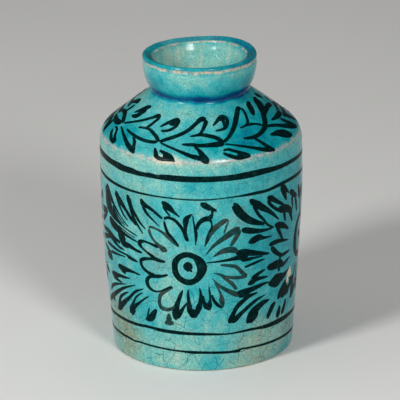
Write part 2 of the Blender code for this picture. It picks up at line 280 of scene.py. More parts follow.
@dataclass(frozen=True)
class Outline:
    """Finished outline of the vase, from the glaze's lower edge up, over the lip and down inside.

    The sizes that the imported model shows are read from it; the others are those it was built by.
    """

    foot_radius: float = 46.6 * MM
    wall_swell: float = 1.8
    turn_radius: float = 9.5 * MM
    slope: float = math.radians(39.0)
    neck_radius: float = 25.3 * MM
    groove_height: float = 1.3 * MM
    swell_height: float = 13.3 * MM
    lip_width: float = 5.7 * MM
    lip_outer_round: float = 1.5 * MM
    lip_inner_round: float = 0.7 * MM
    lip_fall: float = 1.4 * MM
    funnel_depth: float = 17.0 * MM
    funnel_bend: float = 1.8
    throat_radius: float = 19.6 * MM
    step: float = 0.3 * MM
    wall_coarseness: int = 4
    pool_steps: int = 16
    funnel_steps: int = 50
    shoulder_radius: float = field(default_factory=lambda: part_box("shoulder_glaze")[1].x)
    mouth_radius: float = field(default_factory=lambda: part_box("mouth_glaze")[1].x)
    pool_radius: float = field(default_factory=lambda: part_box("neck_glaze_pool")[1].x)
    pool_top: float = field(default_factory=lambda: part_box("neck_glaze_pool")[1].z)
    lip_top: float = field(default_factory=lambda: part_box("mouth_glaze")[1].z)
    glaze_stop: float = field(default_factory=lambda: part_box("body_glaze")[0].z)
    throat_end: float = field(default_factory=lambda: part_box("throat_glaze")[0].z)
    wall_height: float = field(
        default_factory=lambda: (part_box("body_glaze")[1].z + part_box("shoulder_glaze")[0].z) / 2)

    def wall_radius(self, level: float) -> float:
        """Return the wall's radius at a level."""
        swell = 1.0 - (1.0 - min(level / self.wall_height, 1.0)) ** self.wall_swell
        return self.foot_radius + (self.shoulder_radius - self.foot_radius) * swell

    def radius(self, level: float) -> float:
        """Return the outside's radius at a level of the wall or the mouth."""
        return self.mouth_radius if level > self.pool_top else self.wall_radius(level)

    def arc(self, centre: tuple[float, float], radius: float, start: float,
            stop: float) -> list[tuple[float, float]]:
        """Return points of an arc, a step apart.

        Args:
            centre: Radius and level of its centre.
            radius: The arc's own radius.
            start: First angle, from the horizontal.
            stop: Last angle.

        Returns:
            Points as (radius, level).
        """
        count = max(4, math.ceil(abs(stop - start) * radius / self.step))
        angles = [start + (stop - start) * i / count for i in range(count + 1)]
        return [(centre[0] + radius * math.cos(angle), centre[1] + radius * math.sin(angle))
                for angle in angles]

    def stretches(self) -> dict[str, list[tuple[float, float]]]:
        """Return the outline's stretches by name, each a list of (radius, level) points."""
        count = math.ceil(self.wall_height / (self.wall_coarseness * self.step))
        wall = [(self.wall_radius(self.wall_height * i / count), self.wall_height * i / count)
                for i in range(count + 1)]
        turn_centre = (self.shoulder_radius - self.turn_radius, self.wall_height)
        turn = self.arc(turn_centre, self.turn_radius, 0.0, math.pi / 2 - self.slope)
        neck_level = turn[-1][1] + (turn[-1][0] - self.neck_radius) * math.tan(self.slope)
        pool_start = (self.pool_radius,
                      neck_level - (self.pool_radius - self.neck_radius) * math.tan(self.slope))
        groove_top = neck_level + self.groove_height
        spread = self.mouth_radius - self.neck_radius
        swell_radius = (spread ** 2 + self.swell_height ** 2) / (2 * spread)
        widest = groove_top + self.swell_height
        swell = self.arc((self.mouth_radius - swell_radius, widest), swell_radius,
                         math.atan2(-self.swell_height, swell_radius - spread), 0.0)
        swell = [point for point in swell if point[1] > self.pool_top]
        waist = (neck_level + groove_top) / 2
        pull = (2 * self.neck_radius - (pool_start[0] + swell[0][0]) / 2,
                2 * waist - (pool_start[1] + swell[0][1]) / 2)
        pool = [tuple((1 - t) ** 2 * a + 2 * t * (1 - t) * b + t * t * c
                      for a, b, c in zip(pool_start, pull, swell[0]))
                for t in (i / self.pool_steps for i in range(self.pool_steps + 1))]
        outer = (self.mouth_radius - self.lip_outer_round, self.lip_top - self.lip_outer_round)
        lip_inner = self.mouth_radius - self.lip_width
        funnel_top = self.lip_top - self.lip_fall - self.lip_inner_round
        inner = (lip_inner + self.lip_inner_round, funnel_top)
        narrowing = lip_inner - self.throat_radius
        shares = [i / self.funnel_steps for i in range(self.funnel_steps + 1)]
        funnel = [(self.throat_radius + narrowing * (1.0 - t) ** self.funnel_bend,
                   funnel_top - self.funnel_depth * t) for t in shares]
        return {
            "wall": wall,
            "turn": turn,
            "slope": [turn[-1], pool_start],
            "pool": pool,
            "swell": swell,
            "lip_outer": self.arc(outer, self.lip_outer_round, 0.0, math.pi / 2),
            "lip_inner": self.arc(inner, self.lip_inner_round, math.pi / 2, math.pi),
            "funnel": funnel,
            "throat": [funnel[-1], (self.throat_radius, self.throat_end)],
        }

    def marks(self) -> dict[str, float]:
        """Return how far along the outline the foot lies and each stretch ends, in metres."""
        reached, last, marks = 0.0, None, {"foot": 0.0}
        for name, points in self.stretches().items():
            for point in points:
                reached += math.dist(last, point) if last else 0.0
                last = point
            marks[name] = reached
        return marks

    def guide(self) -> bpy.types.Object:
        """Return a curve object that the node trees sample; it is removed before the end."""
        points: list[tuple[float, float]] = []
        closest = self.step / 9
        for stretch in self.stretches().values():
            points += [p for p in stretch if not points or math.dist(points[-1], p) > closest]
        curve = bpy.data.curves.new("outline_guide", "CURVE")
        curve.dimensions = "3D"
        spline = curve.splines.new("POLY")
        spline.points.add(len(points) - 1)
        for place, (radius, level) in zip(spline.points, points):
            place.co = (radius, 0.0, level, 1.0)
        guide = bpy.data.objects.new("outline_guide", curve)
        bpy.context.collection.objects.link(guide)
        return guide


@dataclass(frozen=True)
class Spot:
    """A round place on the vase: degrees around, level, size, and how much happens there."""

    angle: float
    level: float
    size: float
    amount: float

    def centre(self, radius: float) -> tuple[float, float, float]:
        """Return the spot's middle, given how far out the vase's surface lies there."""
        turn = math.radians(self.angle)
        return (radius * math.sin(turn), -radius * math.cos(turn), self.level)


@dataclass(frozen=True)
class Chip(Spot):
    """A place where the glaze has flaked off, in metres; its amount is its depth.

    Its hollow is whole as far as its bed and ends at its brink, both shares of its size.
    """

    bed: float = 0.35
    brink: float = 0.6
    grain: float = 1.1
    raggedness: float = 1.5

    def away(self, wires: Wiring, place: Signal, outline: Outline, unit: float) -> Signal:
        """Return how far a place lies from the chip's middle, so changed that its edge is ragged.

        Args:
            wires: The tree's wiring.
            place: The place.
            outline: The vase's outline.
            unit: The place's unit in metres.

        Returns:
            The distance in that unit.
        """
        width = self.size / unit
        centre = tuple(value / unit for value in self.centre(outline.radius(self.level)))
        rough = wires.noise(place, self.grain / width, 4.0, 0.65) - 0.5
        return wires.vector("DISTANCE", place, centre) + rough * (self.raggedness * width)


@dataclass(frozen=True)
class HandWork:
    """How far the potter's hand departs from the drawn outline, shared by all that lies on it."""

    lump_height: float = 0.16 * MM
    lump_size: float = 15.0 * MM
    ring_height: float = 0.035 * MM
    ring_pitch: float = 5.2 * MM
    ring_waver: float = 9.0
    lip_tilt: float = 2.3 * MM
    lip_rise: float = 1.1 * MM
    lip_rise_angle: float = math.radians(138.0)
    lip_rise_narrowness: float = 9.0
    lip_waver: float = 0.7 * MM
    lip_waves: float = 2.6
    bulges: tuple[Spot, ...] = (
        Spot(92.0, 86.0 * MM, 46.0 * MM, 0.75 * MM),
        Spot(-92.0, 62.0 * MM, 44.0 * MM, 0.40 * MM),
        Spot(150.0, 70.0 * MM, 50.0 * MM, 0.50 * MM),
    )
    chips: tuple[Chip, ...] = (
        Chip(65.4, 44.0 * MM, 5.6 * MM, 0.40 * MM),
        Chip(62.8, 41.0 * MM, 3.0 * MM, 0.25 * MM),
        Chip(-158.0, 1.6 * MM, 3.6 * MM, 0.30 * MM),
    )

    def group(self, outline: Outline) -> bpy.types.NodeTree:
        """Build the node group that finds a place on the vase.

        Args:
            outline: The outline that the guide curve has.

        Returns:
            A group that turns an angle, a distance along the outline and a lift into a position.
        """
        tree = bpy.data.node_groups.new("place_on_vase", "GeometryNodeTree")
        face = tree.interface
        face.new_socket("Guide", in_out="INPUT", socket_type="NodeSocketGeometry")
        for name in ("Angle", "Along", "Lift"):
            face.new_socket(name, in_out="INPUT", socket_type="NodeSocketFloat")
        face.new_socket("Position", in_out="OUTPUT", socket_type="NodeSocketVector")
        wires = Wiring(tree)
        given = tree.nodes.new("NodeGroupInput").outputs
        angle, along, lift = (Signal(tree, given[i]) for i in (1, 2, 3))
        sample = wires.node("GeometryNodeSampleCurve", {"Curves": given[0], "Length": along},
                            mode="LENGTH", data_type="FLOAT")
        point, tangent = Signal(tree, sample.outputs[1]), Signal(tree, sample.outputs[2])
        run, _, rise = wires.split(tangent)
        outward = wires.vector("NORMALIZE", wires.join(rise, 0.0, run * -1.0))
        turn = angle - math.pi / 2
        place = self.turned(wires, point, turn)
        normal = self.turned(wires, outward, turn)
        lumps = (wires.noise(place, 1.0 / self.lump_size, 2.0) - 0.5) * (2 * self.lump_height)
        waver = wires.noise(place, 0.6 / self.lump_size, 1.0) * self.ring_waver
        rings = (along * (2 * math.pi / self.ring_pitch) + waver).reckon("SINE") * self.ring_height
        lift = lift + lumps + rings
        for bulge in self.bulges:
            away = wires.vector("DISTANCE", place, bulge.centre(outline.radius(bulge.level)))
            lift = lift + wires.ease(away, 0.0, bulge.size, bulge.amount, 0.0)
        for chip in self.chips:
            away = chip.away(wires, place, outline, 1.0)
            bed, brink = chip.size * chip.bed, chip.size * chip.brink
            lift = lift - wires.ease(away, bed, brink, chip.amount, 0.0)
        placed = wires.vector("ADD", place, wires.vector("SCALE", normal, lift))
        height = wires.split(place)[2]
        share = wires.ease(height, outline.pool_top, outline.lip_top)
        lobe = (angle - self.lip_rise_angle).reckon("COSINE") * 0.5 + 0.5
        lobe = lobe.reckon("POWER", self.lip_rise_narrowness)
        around = wires.join(angle.reckon("SINE"), angle.reckon("COSINE"), 0.0)
        uneven = (wires.noise(around, self.lip_waves, 5.0, 0.68) - 0.5) * self.lip_waver
        tilt = (angle.reckon("COSINE") * 0.5 + 0.5) * self.lip_tilt
        rise = (tilt + lobe * self.lip_rise + uneven) * share
        placed = wires.vector("ADD", placed, wires.join(0.0, 0.0, rise))
        feed(tree.nodes.new("NodeGroupOutput").inputs[0], placed)
        return tree

    @staticmethod
    def turned(wires: Wiring, vector: Signal, angle: Signal) -> Signal:
        """Return a vector turned about the vase's axis."""
        feeds = {"Vector": vector, "Angle": angle}
        return wires.get("ShaderNodeVectorRotate", feeds, rotation_type="Z_AXIS")


class Tree:
    """A geometry node tree with named inputs, put on an object and turned into a plain mesh."""

    KINDS = {int: "NodeSocketInt", float: "NodeSocketFloat", bpy.types.Object: "NodeSocketObject",
             bpy.types.Material: "NodeSocketMaterial"}

    def __init__(self, name: str, inputs: dict[str, type]) -> None:
        """Start a tree.

        Args:
            name: The tree's name.
            inputs: Name and type of each input after the geometry.
        """
        self.tree = bpy.data.node_groups.new(name, "GeometryNodeTree")
        face = self.tree.interface
        face.new_socket("Geometry", in_out="INPUT", socket_type="NodeSocketGeometry")
        for label, kind in inputs.items():
            face.new_socket(label, in_out="INPUT", socket_type=self.KINDS[kind])
        face.new_socket("Geometry", in_out="OUTPUT", socket_type="NodeSocketGeometry")
        self.wires = Wiring(self.tree)
        given = self.tree.nodes.new("NodeGroupInput").outputs
        self.geometry = Signal(self.tree, given[0])
        self.given = {label: Signal(self.tree, given[label]) for label in inputs}

    def store(self, geometry: Signal, name: str, value: Fed, kind: str = "FLOAT") -> Signal:
        """Return the geometry with a value stored on it by name."""
        return self.wires.get("GeometryNodeStoreNamedAttribute",
                              {"Geometry": geometry, "Name": name, "Value": value}, data_type=kind)

    def stored(self, name: str, kind: str = "FLOAT") -> Signal:
        """Return a value that is stored by name."""
        return self.wires.get("GeometryNodeInputNamedAttribute", {"Name": name}, data_type=kind)

    def lay(self, geometry: Signal, group: bpy.types.NodeTree, angle: Signal, along: Signal,
            lift: Signal) -> Signal:
        """Return the geometry moved to its places on the vase.

        Args:
            geometry: The geometry.
            group: The group that finds a place on the vase.
            angle: Angle around the vase.
            along: Distance along the outline; it is stored on the geometry too.
            lift: Height over the outline.

        Returns:
            The moved geometry.
        """
        marked = self.store(geometry, "along", along)
        guide = self.wires.get("GeometryNodeObjectInfo", {"Object": self.given["Guide"]}, 4)
        position = self.wires.get("GeometryNodeGroup", {0: guide, 1: angle, 2: along, 3: lift},
                                  node_tree=group)
        feeds = {"Geometry": marked, "Position": position}
        return self.wires.get("GeometryNodeSetPosition", feeds)

    def finish(self, geometry: Signal, finish: Signal) -> None:
        """End the tree with real geometry, smooth and in its finish.

        Args:
            geometry: The geometry.
            finish: The material that is given to the tree.
        """
        smooth = self.wires.get("GeometryNodeSetShadeSmooth", {"Geometry": geometry})
        real = self.wires.get("GeometryNodeRealizeInstances", {"Geometry": smooth})
        dressed = self.wires.get("GeometryNodeSetMaterial", {"Geometry": real, "Material": finish})
        feed(self.tree.nodes.new("NodeGroupOutput").inputs[0], dressed)

    def apply(self, name: str, base: bpy.types.Mesh, values: dict[str, object]) -> bpy.types.Object:
        """Run the tree on a mesh.

        Args:
            name: The piece's name.
            base: The mesh that the tree starts from.
            values: The inputs' values by name.

        Returns:
            An object at the origin with the plain mesh that came out.
        """
        holder = bpy.data.objects.new("holder", base)
        bpy.context.collection.objects.link(holder)
        modifier = holder.modifiers.new("nodes", "NODES")
        modifier.node_group = self.tree
        for item in self.tree.interface.items_tree:
            if item.in_out == "INPUT" and item.name in values:
                modifier[item.identifier] = values[item.name]
        result = holder.evaluated_get(bpy.context.evaluated_depsgraph_get())
        mesh = bpy.data.meshes.new_from_object(result)
        holder.modifiers.remove(modifier)
        bpy.data.objects.remove(holder)
        mesh.name = name
        piece = bpy.data.objects.new(name, mesh)
        bpy.context.collection.objects.link(piece)
        return piece


# Finishes


@dataclass(frozen=True)
class Surface:
    """Where a shader is on the vase, in millimetres, and in radians around."""

    wires: Wiring
    place: Signal
    angle: Signal
    along: Signal
    marks: dict[str, float]

    @staticmethod
    def of(wires: Wiring, outline: Outline) -> Surface:
        """Return the surface as the nodes of a shader tree find it.

        Args:
            wires: The tree's wiring.
            outline: The vase's outline.

        Returns:
            The surface.
        """
        place = wires.millimetres()
        x, y, _ = wires.split(place)
        marks = {name: reached / MM for name, reached in outline.marks().items()}
        return Surface(wires, place, x.reckon("ARCTAN2", y * -1.0),
                       wires.carried("along") * (1.0 / MM), marks)

    def cloud(self, scale: float, detail: float = 2.0, roughness: float = 0.5) -> Signal:
        """Return cloudy noise between 0 and 1."""
        return self.wires.noise(self.place, scale, detail, roughness)

    def away(self, spot: Spot) -> Signal:
        """Return how far the surface lies from a spot's middle, its outline taken roughly."""
        slope_start, wall_radius, neck_radius, narrowing = 116.0, 52.0, 26.0, 1.2
        radius = wall_radius - max(0.0, spot.level - slope_start) * narrowing
        return self.wires.vector("DISTANCE", self.place, spot.centre(max(neck_radius, radius)))


@dataclass(frozen=True)
class Stain(Spot):
    """A place where earth or use has coloured the glaze, in millimetres."""

    colour: Colour


@dataclass(frozen=True)
class WearAndShadeBand:
    """A band around the vase where use has rubbed the glaze thin; the glaze's first such band is
    painted shade instead.

    Its place is counted in millimetres from the end of a stretch of the outline; share is how much
    of the band is marked, behind how much of it is left at the back.
    """

    stretch: str
    offset: float
    reach: float
    share: float
    strength: float
    behind: float
    colours: tuple[Colour, Colour]


@dataclass(frozen=True)
class GlazeFinish:
    """Turquoise alkaline glaze: its colour by thickness, crackle, pits, wear and gloss, with
    painted light and shade in places.

    Zones say how much thicker the glaze lies at distances, in millimetres, from the ends of the
    outline's stretches; the last two, inside the mouth, are painted light.  The first of the bands
    is painted shade: a dark teal line along the lip's slope, strongest at the front.
    """

    shades: tuple[tuple[float, Colour], ...] = (
        (0.00, (214, 212, 186)),
        (0.16, (166, 200, 184)),
        (0.32, (124, 190, 180)),
        (0.48, (70, 176, 179)),
        (0.62, (16, 158, 166)),
        (0.76, (0, 132, 148)),
        (0.88, (0, 98, 142)),
        (1.00, (0, 56, 108)),
    )
    base: float = 0.485
    blotch_size: float = 24.0
    mottle_size: float = 6.0
    cell_size: float = 7.0
    gloss: float = 0.12
    patches: tuple[Spot, ...] = (
        Spot(0.0, 106.0, 14.0, 0.12),
        Spot(62.0, 70.0, 42.0, 0.08),
        Spot(70.0, 100.0, 26.0, 0.04),
        Spot(-38.0, 70.0, 30.0, -0.08),
        Spot(40.0, 122.0, 26.0, 0.03),
        Spot(-58.0, 118.0, 18.0, 0.12),
        Spot(-8.0, 45.0, 14.0, 0.05),
        Spot(-50.0, 12.0, 22.0, -0.10),
        Spot(40.0, 12.0, 26.0, -0.16),
        Spot(-38.0, 5.0, 7.0, 0.24),
        Spot(4.0, 4.0, 9.0, 0.22),
        Spot(-60.0, 30.0, 14.0, -0.10),
        Spot(-18.0, 40.0, 18.0, -0.14),
        Spot(4.0, 30.0, 16.0, -0.08),
        # these five spots make the worn ridge paler still: pale worn glaze with a painted highlight
        Spot(-12.5, 116.6, 3.6, -0.28),
        Spot(-16.0, 116.9, 4.0, -0.42),
        Spot(-20.0, 117.0, 4.2, -0.42),
        Spot(-24.0, 117.0, 3.8, -0.42),
        Spot(-27.5, 117.0, 3.2, -0.28),
        # painted highlight: a paler patch down the front of the mouth
        Spot(-8.0, 150.5, 8.0, -0.10),
        Spot(-2.0, 143.5, 7.0, 0.12),
        Spot(-50.0, 148.0, 12.0, 0.12),
        Spot(-48.0, 154.0, 13.0, 0.10),
    )
    stains: tuple[Stain, ...] = (
        Stain(-59.0, 14.0, 23.0, 0.85, (116, 122, 84)),
        Stain(-52.0, 17.0, 9.0, 0.45, (160, 132, 84)),
        Stain(-70.0, 26.0, 12.0, 0.50, (120, 118, 84)),
        Stain(38.0, 8.0, 28.0, 0.78, (158, 170, 148)),
        Stain(64.0, 13.0, 16.0, 0.55, (160, 138, 112)),
        Stain(-28.0, 62.0, 11.0, 0.40, (164, 146, 112)),
        Stain(22.0, 84.0, 9.0, 0.30, (150, 148, 132)),
        Stain(-40.0, 90.0, 18.0, 0.25, (120, 140, 112)),
        Stain(140.0, 16.0, 22.0, 0.60, (134, 128, 88)),
        Stain(-142.0, 60.0, 16.0, 0.35, (150, 146, 112)),
    )
    rubs: tuple[WearAndShadeBand, ...] = (
        # painted shade: a dark teal line along the lip's slope, strongest at the front
        WearAndShadeBand("lip_inner", -3.0, 3.4, 1.00, 0.62, 0.15, ((2, 90, 92), (10, 110, 114))),
        WearAndShadeBand("swell", 1.5, 1.2, 0.80, 0.66, 0.15, ((172, 158, 146), (184, 196, 174))),
        WearAndShadeBand("swell", 1.3, 0.8, 0.40, 0.75, 0.20, ((236, 230, 200), (222, 206, 170))),
        WearAndShadeBand("swell", 1.5, 0.9, 0.20, 0.70, 0.25, ((186, 140, 80), (178, 118, 98))),
        WearAndShadeBand("lip_inner", -0.6, 1.00, 0.62, 0.72, 1.00, ((214, 206, 176), (190, 160, 136))),
        WearAndShadeBand("turn", -4.6, 2.60, 0.62, 0.40, 1.00, ((190, 198, 188), (184, 172, 164))),
        WearAndShadeBand("turn", -4.3, 0.80, 0.80, 0.60, 1.00, ((182, 166, 164), (206, 198, 190))),
        WearAndShadeBand("wall", -112.0, 1.10, 0.30, 0.50, 1.00, ((196, 178, 146), (150, 124, 92))),
    )
    zones: tuple[tuple[str, float, float], ...] = (
        ("foot", 0.0, -0.08), ("foot", 9.0, -0.12), ("foot", 20.0, -0.07), ("foot", 30.0, 0.02),
        ("foot", 90.0, 0.02), ("foot", 97.0, -0.03), ("foot", 106.0, -0.06),
        ("foot", 112.0, -0.10), ("turn", -5.0, -0.16), ("turn", -2.5, 0.04), ("turn", 5.0, 0.12),
        ("slope", -12.0, 0.03), ("slope", -3.0, -0.08), ("pool", -3.4, 0.0), ("pool", -2.0, 0.36),
        ("pool", 0.0, 0.50), ("pool", 1.6, 0.42), ("pool", 3.0, 0.14), ("pool", 6.0, 0.07),
        ("swell", -4.0, 0.0), ("swell", -0.6, -0.12), ("swell", 1.1, 0.06), ("swell", 1.8, 0.24),
        ("swell", 2.4, 0.24), ("swell", 3.1, 0.14), ("lip_inner", -2.0, 0.28),
        # the last two zones make the glaze inside the mouth paler: painted light in the shaded
        # hollow
        ("lip_inner", -0.3, 0.0), ("lip_inner", 2.0, -0.17), ("throat", 0.0, -0.20),
    )
    chipped_clay: tuple[Colour, Colour] = ((228, 214, 190), (190, 166, 132))
    crack_colour: Colour = (20, 58, 56)
    pit_colour: Colour = (70, 62, 44)
    relief_depth: float = 0.12 * MM

    def group(self, outline: Outline, chips: tuple[Chip, ...]) -> bpy.types.NodeTree:
        """Build the shader group that both the glaze and the brushwork under it use.

        Args:
            outline: The vase's outline.
            chips: The places where the glaze has flaked off.

        Returns:
            A group with the outputs Colour, Roughness, Relief and Chipped.
        """
        tree = bpy.data.node_groups.new("turquoise_glaze_body", "ShaderNodeTree")
        for name in ("Colour", "Roughness", "Relief", "Chipped"):
            kind = "NodeSocketColor" if name == "Colour" else "NodeSocketFloat"
            tree.interface.new_socket(name, in_out="OUTPUT", socket_type=kind)
        wires = Wiring(tree)
        here = Surface.of(wires, outline)
        thickness = self.thickness(here)
        colour = wires.ramp(thickness, tuple((p, from_screen(c)) for p, c in self.shades))
        colour = self.worn(here, self.stained(here, colour))
        colour, cracks = self.crackled(here, colour)
        colour, pits = self.pitted(here, colour)
        speckle = here.cloud(1.3, 2.0, 0.6)
        light_and_dark = ((0.30, (0.22, 0.22, 0.22, 1.0)), (0.70, (0.78, 0.78, 0.78, 1.0)))
        colour = wires.mix(0.48, colour, wires.ramp(speckle, light_and_dark), "OVERLAY")
        chipped = self.chipped(here, outline, chips)
        gritty = wires.ease(here.cloud(0.9, 4.0, 0.7), 0.42, 0.66)
        clay = wires.mix(gritty, *(from_screen(shade) for shade in self.chipped_clay))
        colour = wires.mix(chipped, colour, clay)
        lip_end = here.marks["lip_inner"]
        inside = wires.ease(here.along, lip_end - 1.0, lip_end)
        dull = wires.ease(thickness, 0.10, 0.45, 0.04, 0.0) * (1.0 - inside) + chipped * 0.5
        rough = dull + self.gloss + here.cloud(0.35) * 0.10 + pits * 0.3
        relief = here.cloud(0.30, 3.0, 0.55) * 0.5 + speckle * 0.06 - cracks * 0.10 - pits
        outputs = tree.nodes.new("NodeGroupOutput").inputs
        for socket, value in zip(outputs, (colour, rough, relief, chipped)):
            feed(socket, value)
        return tree

    @staticmethod
    def chipped(here: Surface, outline: Outline, chips: tuple[Chip, ...]) -> Signal:
        """Return where the glaze has flaked off.

        Args:
            here: The surface.
            outline: The vase's outline.
            chips: The flaked places.

        Returns:
            From 0 on whole glaze to 1 on bare clay.
        """
        flakes = []
        for chip in chips:
            away, width = chip.away(here.wires, here.place, outline, MM), chip.size / MM
            flakes.append(here.wires.ease(away, width * 0.40, width * 0.50, 1.0, 0.0))
        bare = flakes[0]
        for flake in flakes[1:]:
            bare = bare.reckon("MAXIMUM", flake)
        return bare

    def stained(self, here: Surface, colour: Signal) -> Signal:
        """Lay the stains over the colour, each ragged and grainy.

        Args:
            here: The surface.
            colour: The glaze's colour.

        Returns:
            The colour with its stains.
        """
        wires = here.wires
        edge = (here.cloud(0.12, 3.0, 0.6) - 0.5) * 16.0
        grain = wires.ease(here.cloud(0.5, 4.0, 0.7), 0.34, 0.62, 0.25, 1.0)
        for stain in self.stains:
            away = here.away(stain) + edge
            there = wires.ease(away, stain.size * 0.2, stain.size, stain.amount, 0.0)
            colour = wires.mix(there * grain, colour, from_screen(stain.colour))
        return colour

    def thickness(self, here: Surface) -> Signal:
        """Return how thick the glaze lies, from 0 for a film to 1 for a pool, with painted shade
        and painted highlights added in places.

        Args:
            here: The surface.

        Returns:
            The thickness.
        """
        wires, marks, along = here.wires, here.marks, here.along
        total = marks["throat"]
        stops = tuple(((marks[stretch] + offset) / total, (0.5 + extra / 2,) * 3 + (1.0,))
                      for stretch, offset, extra in self.zones)
        calm = wires.ease(along, marks["pool"] - 6.0, marks["pool"], 1.0, 0.35)
        drift = (here.cloud(1.0 / 9.0) - 0.5) * 3.0 * calm
        zone = wires.ramp((along + drift) / total, stops)
        bias = wires.get("ShaderNodeRGBToBW", {0: zone}) * 2.0 - 1.0
        blotch = (here.cloud(1.0 / self.blotch_size, 3.0, 0.6) - 0.5) * 0.46
        mottle = (here.cloud(1.0 / self.mottle_size, 4.0, 0.6) - 0.5) * 0.34
        sine, cosine = here.angle.reckon("SINE"), here.angle.reckon("COSINE")
        inside = wires.ease(along, marks["lip_inner"] - 1.0, marks["lip_inner"] + 2.0)
        upright = wires.join(sine * 9.0, cosine * 9.0, along * 0.05)
        runs = wires.noise(upright, 1.0, 3.0) - 0.5
        # painted shade: thicker, darker glaze towards the vase's right side
        side = wires.ease(sine, -0.3, 0.9, -0.03, 0.10)
        thickness = bias + blotch + mottle + runs * inside * 0.26 + side + self.base
        edge = (here.cloud(0.16) - 0.5) * 12.0
        for patch in self.patches:
            away = here.away(patch) + edge * min(1.0, patch.size / 16.0)
            thickness = thickness + wires.ease(away, 0.0, patch.size, patch.amount, 0.0)
        return thickness

    def worn(self, here: Surface, colour: Signal) -> Signal:
        """Rub the colour on the shoulder's ridge, both edges of the lip and the foot, and darken a
        line along the lip's slope as painted shade.

        Args:
            here: The surface.
            colour: The glaze's colour.

        Returns:
            The colour with its worn places and its painted shade.
        """
        wires = here.wires
        grain = here.cloud(0.30, 4.0, 0.65)
        wander = (here.cloud(0.16) - 0.5) * 0.9
        tint = wires.ease(here.cloud(0.45), 0.42, 0.58)
        front = wires.ease(here.angle.reckon("COSINE"), -0.35, 0.15)
        # the first band darkens the lip's slope as painted shade; the others are wear
        for band in self.rubs:
            level = here.marks[band.stretch] + band.offset
            away = (here.along + wander * band.reach - level).reckon("ABSOLUTE")
            near = wires.ease(away, band.reach * 0.3, band.reach, 1.0, 0.0)
            bar = 0.68 - band.share * 0.36
            broken = wires.ease(grain, bar - 0.09, bar + 0.09)
            left = front * (1.0 - band.behind) + band.behind
            clay = wires.mix(tint, *(from_screen(shade) for shade in band.colours))
            colour = wires.mix(near * broken * left * band.strength, colour, clay)
        return colour

    def crackled(self, here: Surface, colour: Signal) -> tuple[Signal, Signal]:
        """Draw the crackle: a coarse net with upright cells, and a finer one in places.

        Args:
            here: The surface.
            colour: The glaze's colour.

        Returns:
            The colour with its cracks, and where the cracks are.
        """
        wires, along = here.wires, here.along
        warp = wires.get("ShaderNodeTexNoise",
                         {"Vector": here.place, "Scale": 0.22, "Detail": 3.0}, 1)
        sheet = wires.join(here.angle * 50.0, along * 0.72, 0.0)
        sheet = wires.vector("ADD", sheet, wires.vector("SCALE", warp, 3.4))
        nets = []
        for cell, width, dark in ((self.cell_size, 0.018, 0.84),
                                  (self.cell_size * 0.42, 0.030, 0.48)):
            net = wires.get("ShaderNodeTexVoronoi", {"Vector": sheet, "Scale": 1.0 / cell}, 0,
                            voronoi_dimensions="2D", feature="DISTANCE_TO_EDGE")
            there = wires.ease(here.cloud(0.09 + dark * 0.1), 0.40, 0.58, 0.25, 1.0)
            nets.append(wires.ease(net, 0.0, width * 2, dark, 0.0) * there)
        low = wires.ease(along, 18.0, 60.0, 1.0, 0.62)
        high = wires.ease(along, 140.0, 176.0, 1.0, 0.6)
        cracks = nets[0].reckon("MAXIMUM", nets[1]) * low * high
        return wires.mix(cracks, colour, from_screen(self.crack_colour)), cracks

    def pitted(self, here: Surface, colour: Signal) -> tuple[Signal, Signal]:
        """Add the pinholes, dark where they reach the clay.

        Args:
            here: The surface.
            colour: The glaze's colour.

        Returns:
            The colour with its pits, and where the pits are.
        """
        wires = here.wires
        cell = wires.node("ShaderNodeTexVoronoi", {"Vector": here.place, "Scale": 0.28}).outputs
        chance = wires.get("ShaderNodeSeparateColor", {0: cell[1]})
        depth = wires.ease(Signal(wires.tree, cell[0]), 0.05, 0.13, 1.0, 0.0)
        pits = depth * wires.ease(chance, 0.80, 0.86)
        return wires.mix(pits * 0.8, colour, from_screen(self.pit_colour)), pits

    def material(self, body: bpy.types.NodeTree) -> bpy.types.Material:
        """Return the glaze's material.

        Args:
            body: The shared shader group.

        Returns:
            A material for every coat of glaze.
        """
        material, wires, shader = new_material("turquoise_glaze")
        glaze = wires.node("ShaderNodeGroup", {}, node_tree=body).outputs
        wires.fill(shader, {
            "Base Color": glaze["Colour"], "Roughness": glaze["Roughness"],
            "Specular IOR Level": 0.28,
            "Normal": wires.bump(glaze["Relief"], self.relief_depth, 0.55)})
        return material


